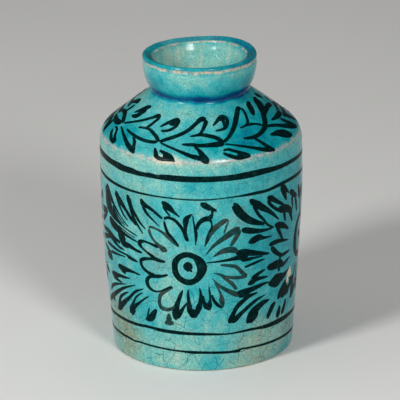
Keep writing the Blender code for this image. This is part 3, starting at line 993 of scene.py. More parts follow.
@dataclass(frozen=True)
class InkFinish:
    """Black slip painted under the glaze: dense at the brush's edges, thin where it ran dry."""

    black: Colour = (0, 26, 27)
    brown: Colour = (22, 42, 38)
    rust: Colour = (60, 54, 46)
    fringe: Colour = (0, 74, 76)
    gloss: float = 0.2
    relief_depth: float = 0.12 * MM

    def material(self, body: bpy.types.NodeTree) -> bpy.types.Material:
        """Return the brushwork's material.

        Args:
            body: The shared shader group of the glaze that lies over it.

        Returns:
            A material that reads the strokes' stored values.
        """
        material, wires, shader = new_material("black_brushwork")
        glaze = wires.node("ShaderNodeGroup", {}, node_tree=body).outputs
        place = wires.millimetres()
        across = wires.carried("across").reckon("ABSOLUTE")
        width = wires.carried("half_width") * (1.0 / MM)
        ink = wires.carried("ink")
        ragged = (wires.noise(place, 1.1, 3.0, 0.6) - 0.5) * 0.22
        inside = (1.0 - across) * width + ragged
        body_mask = wires.ease(inside, -0.02, 0.46)
        fringe_mask = wires.ease(inside, -0.16, 0.16)
        streak = wires.noise(place, 0.42, 3.0, 0.7)
        thin = wires.ease(streak + ink * 0.55, 0.68, 1.10, 0.30, 0.0)
        thin = thin + wires.ease(ink, 0.4, 1.0, 0.34, 0.0)
        earthy = wires.ease(wires.noise(place, 0.4, 3.0, 0.6), 0.42, 0.62)
        weak = wires.mix(earthy, from_screen(self.brown), from_screen(self.rust))
        tone = wires.mix(wires.ease(ink, 0.78, 0.95), weak, from_screen(self.black))
        fringed = wires.mix(fringe_mask * 0.75, glaze["Colour"], from_screen(self.fringe))
        inked = wires.mix(body_mask * (1.0 - thin), fringed, tone)
        wires.fill(shader, {
            "Base Color": wires.mix(glaze["Chipped"], inked, glaze["Colour"]),
            "Roughness": wires.noise(place, 0.5, 2.0) * 0.12 + self.gloss,
            "Specular IOR Level": 0.03,
            "Normal": wires.bump(glaze["Relief"], self.relief_depth, 0.5)})
        return material


@dataclass(frozen=True)
class ClayFinish:
    """Bare fritware: sandy, scratched by the turning tool, and stained where it is touched."""

    name: str
    pale: Colour
    dark: Colour
    stain: Colour = (92, 70, 48)
    speck: Colour = (60, 46, 34)
    grit_size: float = 1.2
    relief_depth: float = 0.15 * MM

    def material(self) -> bpy.types.Material:
        """Return the clay's material."""
        material, wires, shader = new_material(self.name)
        place = wires.millimetres()
        x, y, z = wires.split(place)
        radius = (x * x + y * y).reckon("SQRT")
        cloud = wires.ease(wires.noise(place, 0.08, 4.0, 0.6), 0.35, 0.65)
        grit = wires.noise(place, 1.0 / self.grit_size, 4.0, 0.7)
        colour = wires.mix(cloud, from_screen(self.dark), from_screen(self.pale))
        stained = wires.ease(wires.noise(place, 0.16, 5.0, 0.7), 0.52, 0.70)
        colour = wires.mix(stained * 0.55, colour, from_screen(self.stain))
        specks = wires.ease(wires.noise(place, 2.2, 1.0), 0.66, 0.72)
        colour = wires.mix(specks * 0.7, colour, from_screen(self.speck))
        rings = wires.noise(wires.join(radius * 1.6, z * 1.6, 0.0), 1.0, 2.0)
        wires.fill(shader, {"Base Color": colour, "Roughness": grit * 0.2 + 0.72,
                            "Normal": wires.bump(grit + rings, self.relief_depth, 0.8)})
        return material


@dataclass(frozen=True)
class FloorFinish:
    """Smooth pale studio paper."""

    shade: Colour = (236, 235, 232)

    def material(self) -> bpy.types.Material:
        """Return the floor's material."""
        material, wires, shader = new_material("studio_paper")
        place = wires.get("ShaderNodeTexCoord", {}, 3)
        tint = wires.ease(wires.noise(place, 3.0, 2.0), 0.3, 0.7, 0.97, 1.0)
        colour = wires.mix(1.0, from_screen(self.shade), wires.join(tint, tint, tint), "MULTIPLY")
        wires.fill(shader, {"Base Color": colour, "Roughness": 0.8})
        return material


def new_material(name: str) -> tuple[bpy.types.Material, Wiring, bpy.types.Node]:
    """Start a material.

    Args:
        name: Its name.

    Returns:
        The material, its wiring and its Principled shader.
    """
    material = bpy.data.materials.new(name)
    material.use_nodes = True
    shader = material.node_tree.nodes["Principled BSDF"]
    return material, Wiring(material.node_tree), shader


# Coats of glaze


@dataclass
class GlazeCoats:
    """The coats of glaze, each a closed shell turned along its stretch of the outline."""

    outline: Outline
    thickness: float = 0.6 * MM
    around: int = 360
    row_height: float = 0.9 * MM
    long_coat: float = 50.0 * MM
    short_fineness: float = 0.4
    inner_rows: int = 16
    line_level: float = 107.4 * MM
    foot_run: float = 1.35 * MM
    edge_waver: float = 0.7 * MM
    edge_waves: float = 4.0
    edge_fade: float = 0.08

    def tree(self, group: bpy.types.NodeTree) -> Tree:
        """Build the tree that turns one coat.

        Args:
            group: The group that finds a place on the vase.

        Returns:
            The finished tree.
        """
        made = Tree("turned_coat", {
            "Guide": bpy.types.Object, "Sides": int, "Rows": int, "Inner Rows": int,
            "From": float, "To": float, "Thickness": float, "Edge Waver": float,
            "Finish": bpy.types.Material})
        wires, given = made.wires, made.given
        rows, inner = given["Rows"], given["Inner Rows"]
        levels = rows + inner + 3.0
        grid = wires.get("GeometryNodeMeshGrid", {
            "Size X": 1.0, "Size Y": 1.0, "Vertices X": given["Sides"] + 1.0,
            "Vertices Y": levels})
        x, y, _ = wires.split(wires.get("GeometryNodeInputPosition", {}))
        row = ((y + 0.5) * (levels - 1.0)).reckon("ROUND")
        out_share = (row / rows).reckon("MINIMUM", 1.0)
        in_share = 1.0 - (row - rows - 1.0) / inner
        inward = row.reckon("GREATER_THAN", rows + 0.5) * row.reckon("LESS_THAN", levels - 1.5)
        closing = row.reckon("GREATER_THAN", levels - 1.5)
        share = (out_share * (1.0 - inward) + in_share * inward) * (1.0 - closing)
        angle = x * (2 * math.pi)
        circle = wires.join(angle.reckon("SINE"), angle.reckon("COSINE"), 0.0)
        waver = (wires.noise(circle, self.edge_waves, 4.0) - 0.5) * given["Edge Waver"]
        fade = wires.ease(share, 0.0, self.edge_fade, 1.0, 0.0)
        along = given["From"] + (given["To"] - given["From"]) * share + waver * fade
        turned = made.lay(grid, group, angle, along, inward * given["Thickness"] * -1.0)
        merged = wires.get("GeometryNodeMergeByDistance",
                           {"Geometry": turned, "Distance": MERGE_DISTANCE})
        made.finish(merged, given["Finish"])
        return made

    def build(self, group: bpy.types.NodeTree, guide: bpy.types.Object,
              finish: bpy.types.Material) -> None:
        """Make every coat, from the foot up.

        Args:
            group: The group that finds a place on the vase.
            guide: The outline's guide curve.
            finish: The glaze's material.
        """
        outline = self.outline
        marks = outline.marks()
        throat_level = outline.stretches()["funnel"][-1][1]
        inner_top = marks["funnel"] - (outline.pool_top - throat_level)
        limits = (outline.glaze_stop - self.foot_run, self.line_level, marks["slope"],
                  marks["pool"], inner_top, marks["throat"])
        coats = (("wall_coat", "body_glaze", "turquoise_glaze", self.edge_waver),
                 ("shoulder_coat", "shoulder_glaze", "turquoise_glaze", 0.0),
                 ("neck_pool", "neck_glaze_pool", "pooled_glaze", 0.0),
                 ("mouth_coat", "mouth_glaze", "turquoise_glaze", 0.0),
                 ("throat_coat", "throat_glaze", "turquoise_glaze", 0.0))
        tree = self.tree(group)
        for (name, node, slot, waver), start, stop in zip(coats, limits, limits[1:]):
            fineness = self.row_height * (1.0 if stop - start > self.long_coat
                                          else self.short_fineness)
            coat = tree.apply(name, bpy.data.meshes.new(name), {
                "Guide": guide, "Sides": self.around, "From": start, "To": stop,
                "Rows": math.ceil((stop - start) / fineness), "Inner Rows": self.inner_rows,
                "Thickness": self.thickness, "Edge Waver": waver, "Finish": finish})
            settle(coat, slot, node)


def settle(piece: bpy.types.Object, slot: str, *nodes: str) -> None:
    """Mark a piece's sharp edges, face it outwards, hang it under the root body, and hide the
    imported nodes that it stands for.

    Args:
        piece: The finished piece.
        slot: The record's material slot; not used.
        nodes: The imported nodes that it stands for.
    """
    work = bmesh.new()
    work.from_mesh(piece.data)
    if work.calc_volume(signed=True) < 0:
        bmesh.ops.reverse_faces(work, faces=work.faces)
        work.to_mesh(piece.data)
    work.free()
    piece.data.set_sharp_from_angle(angle=SHARP_ANGLE)
    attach(piece, "root")
    if nodes:
        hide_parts(*nodes)
    triangles = sum(len(face.vertices) - 2 for face in piece.data.polygons)
    log.info("%s: %d triangles", piece.name, triangles)


# Brushwork


@dataclass(frozen=True)
class Brush:
    """How the brush marks the vase: how finely a stroke is followed and how proud it lies.

    Strokes narrower than the whole bleed and the whole height bleed less and lie lower.  The seat
    is the share of the sink by which a whole stroke is set into the coat.
    """

    step: float = 0.65 * MM
    sides: int = 8
    height: float = 0.09 * MM
    sink: float = 0.05 * MM
    spread: float = 1.16
    bleed: float = 0.30 * MM
    whole_bleed: float = 0.65 * MM
    whole_height: float = 0.5 * MM
    thinnest: float = 0.03 * MM
    tip_length: float = 1.5
    unevenness: float = 0.22
    uneven_scale: float = 0.45 / MM
    seat: float = 0.4

    def sizes(self) -> dict[str, float]:
        """Return the brush's sizes under the names of the tree's inputs."""
        names = [size.name for size in fields(self)]
        return {name.replace("_", " ").title(): getattr(self, name) for name in names}

    def tree(self, group: bpy.types.NodeTree) -> Tree:
        """Build the tree that sweeps a lens along each stroke and lays it on the vase.

        Args:
            group: The group that finds a place on the vase.

        Returns:
            The finished tree.
        """
        kinds = {label: type(size) for label, size in self.sizes().items()}
        made = Tree("brushwork", {"Guide": bpy.types.Object, "Chart Radius": float,
                                  "Finish": bpy.types.Material, **kinds})
        wires, given = made.wires, made.given
        chains = wires.get("GeometryNodeMeshToCurve", {"Mesh": made.geometry})
        bent = wires.get("GeometryNodeCurveSplineType", {"Curve": chains},
                         spline_type="CATMULL_ROM")
        even = wires.get("GeometryNodeResampleCurve", {"Curve": bent, "Length": given["Step"]},
                         mode="LENGTH")
        spot = wires.get("GeometryNodeInputPosition", {})
        reached = wires.get("GeometryNodeSplineParameter", {}, 1)
        whole = wires.get("GeometryNodeSplineLength", {})
        end = reached.reckon("MINIMUM", whole - reached)
        shake = (wires.noise(spot, given["Uneven Scale"]) - 0.5) * given["Unevenness"]
        shake = shake + given["Spread"]
        drawn = made.stored("half_width")
        bled = given["Bleed"] * (drawn / given["Whole Bleed"]).reckon("MINIMUM", 1.0)
        half = drawn * shake + bled
        short = 1.0 - (end / (half * given["Tip Length"])).reckon("MINIMUM", 1.0)
        half = (half * (1.0 - short * short).reckon("SQRT")).reckon("MAXIMUM", given["Thinnest"])
        along_x, along_y, _ = wires.split(wires.get("GeometryNodeInputTangent", {}))
        spine = made.store(even, "spine", spot, "FLOAT_VECTOR")
        spine = made.store(spine, "side", wires.join(along_y, along_x * -1.0, 0.0), "FLOAT_VECTOR")
        spine = made.store(spine, "half_width", half)
        ring = wires.get("GeometryNodeCurvePrimitiveCircle",
                         {"Resolution": given["Sides"], "Radius": 1.0})
        across, upper, _ = wires.split(spot)
        ring = made.store(made.store(ring, "across", across), "upper", upper)
        swept = wires.get("GeometryNodeCurveToMesh", {
            "Curve": spine, "Profile Curve": ring, "Fill Caps": True})
        across, upper, half = (made.stored(name) for name in ("across", "upper", "half_width"))
        side = wires.vector("SCALE", made.stored("side", "FLOAT_VECTOR"), across * half)
        flat = wires.vector("ADD", made.stored("spine", "FLOAT_VECTOR"), side)
        flat_x, along, _ = wires.split(flat)
        swell = (1.0 - across * across) * (half / given["Whole Height"]).reckon("MINIMUM", 1.0)
        above = upper.reckon("GREATER_THAN", 0.01)
        below = upper.reckon("LESS_THAN", -0.01)
        lift = swell * (above * given["Height"] - below * given["Sink"])
        lift = lift - given["Sink"] * given["Seat"]
        laid = made.lay(swept, group, flat_x / given["Chart Radius"], along, lift)
        made.finish(laid, given["Finish"])
        return made


class Ink(Enum):
    """How dense the slip on the brush was."""

    BLACK = 1.0
    BROWN = 0.79


Line = tuple[Touch, ...]


@dataclass(frozen=True)
class Motif:
    """Strokes that belong together, their ink and weight, and the shifts at which they stand."""

    ink: Ink
    lines: tuple[Line, ...]
    shifts: tuple[float, ...] = (0.0,)
    weight: float = 1.0


@dataclass
class Painting:
    """One field of brushwork: the vase's front, and the same again behind by half a turn.

    Strokes that lie farther out than the copied reach are not repeated behind, and a field with
    one copy has nothing repeated.
    """

    name: str
    motifs: tuple[Motif, ...]
    chart_radius: float
    weight: float = 1.0
    copies: int = 2
    copied_reach: float = 200.0
    drift: float = 0.35
    boldness: float = 0.3
    slant: float = 0.02
    seed: int = 7

    def touches(self) -> list[tuple[list[Touch], float]]:
        """Return every stroke, and its ink; repeated ones are changed a little, as by a hand."""
        hand = random.Random(self.seed)
        half_turn = math.pi * self.chart_radius / MM
        strokes = []
        for motif in self.motifs:
            for shift in motif.shifts:
                for behind in range(self.copies):
                    for line in motif.lines:
                        loose = self.drift * (behind or shift > 0.0)
                        dx, dy = hand.uniform(-loose, loose), hand.uniform(-loose, loose)
                        bold = motif.weight * (1.0 + hand.uniform(-loose, loose) * self.boldness)
                        lean = hand.uniform(-loose, loose) * self.slant
                        first = line[0]
                        middle = sum(touch[0] for touch in line) / len(line)
                        if behind and abs(middle) > self.copied_reach:
                            continue
                        aside = shift + behind * half_turn
                        moved = [(x + aside + dx, y + dy + (x - first[0]) * lean, width * bold)
                                 for x, y, width in line]
                        strokes.append((moved, motif.ink.value))
        return strokes

    def build(self, tree: Tree, brush: Brush, guide: bpy.types.Object,
              finish: bpy.types.Material) -> None:
        """Lay the field's strokes on the vase.

        Args:
            tree: The brushwork tree.
            brush: The brush.
            guide: The outline's guide curve.
            finish: The brushwork's material.
        """
        points, edges, halves, inks = [], [], [], []
        for line, ink in self.touches():
            first = len(points)
            points += [(x * MM, y * MM, 0.0) for x, y, _ in line]
            halves += [width * MM / 2 for _, _, width in line]
            inks += [ink] * len(line)
            edges += [(i, i + 1) for i in range(first, len(points) - 1)]
        base = bpy.data.meshes.new(self.name)
        base.from_pydata(points, edges, [])
        for name, values in (("half_width", halves), ("ink", inks)):
            base.attributes.new(name, "FLOAT", "POINT").data.foreach_set("value", values)
        piece = tree.apply(self.name, base, {
            **brush.sizes(), "Spread": brush.spread * self.weight, "Guide": guide,
            "Chart Radius": self.chart_radius, "Finish": finish})
        settle(piece, "black_pigment")


# What the brush painted, in millimetres: around, up along the outline, and the stroke's width

RULED_LINES: tuple[Line, ...] = (
    ((-152, 107.2, 1.6), (-88, 108.3, 2.8), (-70, 108.5, 3.2), (-54, 108.2, 3), (-48, 108, 3.4),
     (-42, 107.8, 3), (-38, 107.9, 3), (-34, 107.6, 2.4), (-30, 107.7, 2), (-26, 107.8, 2.2),
     (-22, 107.6, 2), (-19, 107.9, 2.6), (-10, 107.9, 2.8), (13, 107.7, 2.6), (24, 107.8, 3.1),
     (34, 107.8, 2.8), (42, 107.3, 2.2), (58, 106.7, 1.8), (76, 105.6, 1.7), (96, 105.4, 1.9),
     (120, 105.9, 1.6), (144, 106.6, 1.9), (160, 107, 1.7), (174, 107.8, 1.2)),
    ((-152, 96.4, 1), (-128, 96.9, 1.2), (-104, 97.3, 1), (-68, 97.6, 1.6), (-60, 97.3, 1.5),
     (-40, 96.9, 1.1), (-20, 97, 0.7), (0, 96.6, 0.7), (14, 97, 0.6), (28, 97, 1.3),
     (36, 96.8, 1.3), (48, 97.5, 1.7), (62, 97.1, 1.5), (84, 95.9, 1.2), (108, 95.6, 1),
     (156, 96.3, 1.1), (174, 96.9, 0.7)),
    ((-152, 19.8, 1.2), (-128, 20.2, 1.4), (-104, 20.4, 1.2), (-70, 20.6, 1.8), (-60, 21.1, 1.5),
     (-40, 21.7, 1.3), (-34, 22.2, 1.3), (-29, 22.2, 1.2), (-22, 21.8, 1.7), (1, 21.3, 1.2),
     (14, 20.6, 0.8), (26, 20.9, 1.2), (32, 20.6, 1.2), (38, 20.2, 1.9), (50, 20.1, 2.5),
     (66, 19.7, 1.7), (74, 19.2, 1.5), (96, 18.8, 1.2), (120, 18.9, 1.5), (144, 19.3, 1.1),
     (162, 19.6, 1.3), (174, 20.3, 0.8)),
    ((20, 10.7, 0.6), (24, 10.7, 0.9), (56, 9.2, 1.2), (74, 8, 1.2), (96, 7.9, 1), (120, 8.5, 1.2),
     (146, 9.2, 1), (170, 9.6, 1.3), (196, 10.1, 1), (246, 11.2, 1.4), (270, 11.7, 1.2),
     (278, 11.4, 0.9), (282, 11.8, 0.9), (288, 11.7, 0.9), (308, 11.1, 0.9), (314, 10.8, 1.3),
     (322, 10.7, 1.2), (336, 10, 1.2), (342.2, 10.2, 1.8)),
)

ROSETTE_SPACING = 77.0

ROSETTE_HEART: tuple[Line, ...] = (
    ((-9, 66.1, 2.2), (-7.3, 66.3, 2.6), (-3.9, 65.1, 2.8), (-1.4, 62.6, 4.2), (-0.1, 58.9, 4.8),
     (-1.1, 55.1, 3.6), (-3.6, 52, 2.8), (-7.3, 50.7, 2.8), (-11.2, 52.2, 2.8), (-13.7, 55.1, 2.9),
     (-14.3, 58.9, 2.8), (-13.6, 62.4, 2.8), (-11.2, 65, 2.7), (-8, 66.2, 2.6), (-5.2, 65.7, 1.8)),
    ((-2.4, 59, 1.6), (-0.2, 58.9, 3.4), (1.2, 58.9, 1.8), (2.4, 58.9, 0.4)),
    ((-10.1, 59.4, 6.2), (-7.4, 59.5, 6.6), (-4.7, 59.2, 6.2)),
    ((-6.4, 57.8, 1.8), (-5, 56.4, 0.6)),
)
ROSETTE_CROWN: tuple[Line, ...] = (
    ((-4.2, 89.2, 0.3), (-6.6, 87.3, 1.6), (-8, 85, 2.6), (-8.1, 79, 1), (-7.1, 73.3, 1.3)),
    ((-4.5, 88.5, 0.5), (-3.8, 83, 0.8), (-2.9, 77.5, 1.3), (-3.3, 71, 0.3)),
    ((-2.6, 79.8, 1), (-2, 82.6, 1.6), (-0.4, 84.8, 2), (1.8, 86.1, 2.4), (3.9, 86.4, 2.4),
     (5.3, 88.5, 1.2), (5.5, 89.9, 0.5)),
    ((4, 86, 1.6), (5, 83.9, 0.8), (5.1, 81.4, 0.9), (4.5, 79, 1.6), (3.2, 75.7, 1.8),
     (1.5, 70.8, 0.4)),
    ((-0.8, 94.8, 1.6), (1.1, 93.9, 2.8), (3.6, 92.3, 2.6), (5.5, 91.4, 1.6), (8, 90, 0.8)),
    ((5.5, 91.5, 1), (5.5, 88.6, 1.4)),
)
ROSETTE_ROOT: tuple[Line, ...] = (
    ((4.8, 44, 0.8), (6.1, 40.2, 1.3), (8.7, 37, 1.4), (11, 35.6, 0.4)),
    ((0, 43.8, 1.2), (0.6, 40, 1.4), (2, 37, 2.4), (4.1, 34.8, 0.8)),
    ((3.3, 48.8, 0.4), (3.8, 45, 0.9), (4, 41, 1), (3.5, 37.5, 2.6), (4.1, 34.8, 0.6)),
    ((-7.5, 47, 0.6), (-7.6, 43, 1.2), (-7.2, 39, 1.8), (-6.8, 35, 2.8), (-5.2, 30.3, 1.4)),
    ((-1.6, 48, 0.5), (-0.9, 44, 1.3), (-1.2, 40, 1.8), (-2.2, 36, 2.8), (-4.8, 30.3, 1.4)),
    ((-4.8, 36, 1), (-5, 33.5, 3.4), (-5, 30.8, 1.6)),
    ((-10.3, 46.5, 0.6), (-11.8, 42.8, 1.6), (-13.2, 39, 2), (-14.5, 34.5, 3.4), (-14.7, 30.5, 3),
     (-14.7, 28.5, 1)),
    ((-7.9, 39.4, 0.8), (-10.4, 36, 1.3), (-12.5, 32.5, 2.2), (-14.2, 29.5, 1.6)),
)
ROSETTE_ROOT_BROWN: tuple[Line, ...] = (
    ((6, 50.5, 0.4), (8.3, 47, 0.8), (9.8, 43, 1.2), (10.2, 40, 2.6), (11, 35.7, 0.5)),
    ((13.8, 85.2, 0.7), (11, 84, 2.3), (8, 81.9, 2.4), (5.4, 79.5, 2.7), (3.6, 76.6, 2),
     (1.3, 70.4, 0.4)),
    ((13.9, 84.8, 0.5), (12, 79.6, 0.9), (11.2, 77.2, 0.5)),
)
RIGHT_PETALS: tuple[Line, ...] = (
    ((17.4, 65.9, 2.2), (20, 65.6, 3.4), (24.2, 65, 3.2), (34.8, 62.1, 1.5), (38.6, 61.4, 0.5)),
    ((1.8, 61.7, 0.5), (14.8, 62.6, 1.4), (19.2, 63.2, 2.8), (22.9, 63.5, 3.6), (25.2, 63, 2)),
    ((20, 61.8, 1.4), (23.5, 61.2, 1.8), (28, 61.3, 1.1), (34, 61, 0.7)),
    ((24, 65, 3), (22, 67.4, 1.6)),
)
RIGHT_PETALS_BROWN: tuple[Line, ...] = (
    ((1.8, 66, 0.5), (6.4, 71.4, 1.4), (13, 76, 2.8), (16.8, 78.3, 3.1), (20, 79.8, 2.2)),
    ((14.6, 69.8, 0.8), (16.6, 72.6, 1.8), (18.6, 76, 2.2), (20, 78.8, 1.8)),
    ((5.5, 64.8, 0.4), (8.6, 66.7, 1.6), (11.7, 67.9, 2.6), (15.4, 68, 3), (19, 66.4, 2.8)),
    ((9, 59.9, 0.4), (10.8, 59.9, 1), (16.8, 58.6, 1.6), (19, 57, 1.6), (22.4, 53.2, 1.9),
     (24.5, 52.3, 1.6)),
    ((5.5, 56, 0.3), (9.4, 54.7, 1), (12.9, 53, 1.2), (19.8, 51.8, 1.5), (24.5, 52.2, 1.6)),
    ((9.6, 54, 0.7), (15.4, 49.3, 1.6), (18.3, 45, 1.4)),
    ((4.9, 53.3, 0.3), (8, 49.4, 1), (11.1, 46.8, 1.6), (17, 43.2, 2.4), (20.5, 41.8, 2.6)),
)
LEFT_PETALS: tuple[Line, ...] = (
    ((-18, 54.2, 1), (-21, 53, 1.2), (-25, 52.2, 1.8), (-28.3, 51.5, 1.4), (-30.5, 49.5, 1.8),
     (-30.6, 46.8, 2), (-28.8, 44.6, 1.4), (-26, 43.6, 1), (-22.6, 44.3, 0.8), (-17, 47, 1.4),
     (-15.5, 47.3, 1)),
    ((-19, 61.1, 0.8), (-22.6, 61.4, 1.6), (-25.8, 62, 1.8), (-28.5, 61.4, 1.2),
     (-31.5, 60.8, 1.5), (-33.8, 59.6, 1.7), (-34, 57.5, 1.5), (-32.8, 55.5, 1.4),
     (-30.5, 53.9, 1.4), (-28.3, 53, 1.8), (-25, 52.3, 2)),
    ((-22.6, 68.8, 1.8), (-28.3, 70.2, 1), (-31.5, 70.6, 1.2), (-33.8, 69.8, 2.2),
     (-34.4, 68.3, 2.4), (-32.8, 66.6, 1.2), (-30, 64.9, 1), (-25, 62.2, 2)),
    ((-19.5, 84.5, 1), (-18.6, 85.6, 1.2), (-17, 86.1, 1.2), (-13.9, 85.1, 1.4),
     (-11.4, 82.6, 1.4), (-9.5, 79.8, 1.4), (-7.1, 73.5, 1.8)),
    ((-19.3, 84.2, 1), (-18.9, 81.4, 1.2), (-17.6, 77.6, 1.4), (-15.8, 75.1, 1.8),
     (-11.8, 70.3, 1.2)),
    ((-20.6, 94.8, 1), (-18.8, 93.3, 2.8), (-16.4, 91.5, 3), (-13.9, 89.2, 1.4),
     (-10.9, 86.8, 0.5)),
    ((-19.8, 92.6, 1.4), (-17.9, 89.2, 1), (-15.8, 86.7, 0.7)),
)
LEFT_PETALS_BROWN: tuple[Line, ...] = (
    ((-28.6, 78.9, 1.2), (-26.4, 79.4, 1.1), (-23.3, 78.7, 1), (-20.1, 77.3, 1.2),
     (-17.6, 75.4, 1.6), (-11.6, 70.2, 1)),
    ((-28.1, 78.5, 1.6), (-27.7, 75.8, 1.3), (-26.2, 73.1, 1.1), (-23.9, 70.8, 1.3),
     (-21.4, 69, 2), (-18.3, 67.8, 2.2)),
    ((-15.4, 47.3, 1.4), (-17.6, 46.3, 1.2), (-22.4, 42.6, 1.8), (-23.5, 40, 1.6),
     (-23.7, 37, 1.6), (-22.6, 34.8, 1.8), (-19.5, 34.2, 1.6), (-16.5, 35.2, 1.4),
     (-14.4, 37, 1.2)),
    ((-17.8, 67.6, 1.8), (-20, 67.8, 2.6), (-22.6, 68.9, 2)),
    ((-21.4, 25.8, 0.6), (-19.5, 26.8, 2.6), (-17.2, 26.8, 2.2), (-15.8, 26, 1)),
    ((-18.7, 32.4, 0.4), (-18.6, 28.8, 3.4), (-18.5, 27.4, 4.2)),
)
LEFT_SPRAY: tuple[Line, ...] = (
    ((-62.2, 93.4, 1.4), (-60.5, 92.6, 2.2), (-56.2, 87.4, 2.2), (-53.5, 84.8, 1.4),
     (-48.5, 80.7, 0.8), (-43.5, 77.1, 0.6), (-41.6, 76.2, 0.6)),
    ((-62.4, 93, 1.4), (-62.8, 90, 1.4), (-63, 84.5, 1.6), (-61.8, 82.2, 2.2), (-59.5, 80.6, 2.9),
     (-54.5, 78.5, 2.6), (-52, 77.4, 1.8), (-45.5, 75, 0.7), (-38.5, 73.2, 0.7),
     (-35.5, 72.4, 0.4)),
    ((-55.4, 84, 1.6), (-52.5, 81.6, 1), (-47, 77.7, 0.6), (-44, 76, 0.5)),
    ((-56, 82, 2), (-50, 78, 0.7), (-46.5, 76.4, 0.5)),
    ((-59.4, 76.8, 1.2), (-58, 75.4, 3.4), (-55.5, 73.8, 4), (-50, 72.2, 3.2), (-45, 71.2, 1.4),
     (-34, 68.8, 0.5)),
    ((-50, 74.6, 0.6), (-41, 71.9, 0.5), (-37, 71.2, 0.4)),
    ((-50.4, 71.2, 2.2), (-50, 69.6, 1.6), (-48.6, 67.6, 2.6), (-46.5, 66, 3.2), (-44, 65.3, 2.6),
     (-42, 65.6, 2), (-37, 64.3, 1.2), (-34.5, 64, 1), (-32.5, 64, 0.4)),
    ((-49.5, 70.2, 1.8), (-47.4, 70, 2.2), (-45.8, 69, 1.6), (-44.8, 67, 1.2)),
    ((-71, 67, 2), (-63, 67.4, 2.4), (-60, 66.9, 2.8), (-57.5, 66.5, 2.2), (-53.5, 64, 1.2),
     (-51, 62.6, 1), (-48, 61.6, 0.7)),
    ((-60, 67.6, 1.2), (-57, 67, 1.2), (-54.5, 66, 1.2), (-49, 65, 1.4)),
    ((-71, 62, 2.4), (-64, 64, 2), (-61, 65.2, 1.8), (-58.5, 65.3, 1.6), (-56.5, 64.2, 1),
     (-54, 63.2, 1), (-45.5, 61.8, 0.6)),
    ((-65, 60.6, 1.2), (-60, 60.5, 1.4), (-52, 60, 0.9), (-44.8, 59.8, 0.8), (-42.8, 59, 1.5),
     (-40.5, 58.6, 1.5), (-36, 57.9, 0.5)),
    ((-60, 56.8, 1.4), (-50, 57.9, 0.7), (-45, 58.3, 0.5)),
    ((-70, 58.2, 1.6), (-64, 56.2, 2.4), (-62, 54.8, 3.4), (-60, 53.4, 3), (-58.4, 53, 1.8)),
    ((-67, 53.8, 1.4), (-64, 53.2, 2), (-61, 52.6, 1.8), (-58.8, 52.6, 1.4)),
    ((-62, 55.6, 1.6), (-59.5, 56.7, 1.2)),
    ((-71, 78.2, 1.2), (-67.5, 79, 1.2), (-62, 79.6, 0.8)),
    ((-71, 71, 2.4), (-65.5, 75, 1.8), (-61.6, 79.2, 0.8)),
    ((-72.5, 87, 2.5), (-70.8, 85.5, 2.5), (-71.6, 83, 2.5)),
    ((-51.6, 93.6, 1.4), (-49, 90.2, 2.5), (-47.2, 88.4, 2.8), (-43.8, 85.6, 1.7),
     (-40, 81.8, 1.6), (-38.2, 80.6, 1.5), (-36, 78, 0.8)),
    ((-51.8, 92.6, 1.2), (-51, 90.4, 1.2), (-48.4, 86, 1.2), (-45.6, 82.4, 1), (-43.8, 80.8, 0.8),
     (-41.6, 79.6, 0.5)),
    ((-41.6, 94.4, 1), (-41.3, 92.6, 2), (-40.4, 90.6, 2.4), (-39.4, 88.2, 2), (-38, 86, 1.5),
     (-36.4, 84.2, 1.3), (-33.8, 80.8, 1), (-30, 77.3, 0.6)),
    ((-41.4, 90.8, 1.1), (-39.4, 85.8, 1.1), (-38.2, 83.2, 1.5), (-37, 81, 1.3),
     (-31.6, 74.4, 0.5)),
    ((-32.6, 94.3, 1), (-31.2, 91.4, 2.4), (-28.8, 90.4, 1.6), (-25, 88.5, 1.2), (-20, 84.8, 0.9)),
    ((-31.6, 90.8, 1.6), (-29, 86.5, 1.1), (-21.8, 80.4, 0.4)),
    ((-53.2, 51, 1.2), (-51.5, 51.2, 2.4), (-49, 51.2, 2.4), (-47, 50.9, 2.8), (-45, 51.3, 2),
     (-40, 51.4, 1), (-37, 51, 0.8), (-34.4, 51, 0.4)),
    ((-51, 50, 1.2), (-48.5, 49.6, 1.6), (-46.8, 48.9, 1.2), (-45.6, 48.8, 0.6)),
    ((-61.8, 44.2, 1.4), (-59, 44.6, 2.4), (-56.5, 44.8, 2.4), (-51, 46, 1.3), (-48, 46.2, 1.1),
     (-42.5, 47, 0.4)),
    ((-60.5, 43.4, 1), (-58.5, 43, 1.8), (-54.5, 42.6, 1.3), (-50, 42.4, 0.6)),
    ((-69.8, 47.6, 1.4), (-67.6, 46.6, 1.8)),
    ((-72, 44, 2.6), (-69.5, 44.4, 2.2), (-67.5, 43.8, 2.4), (-65.4, 42.8, 1.8)),
)
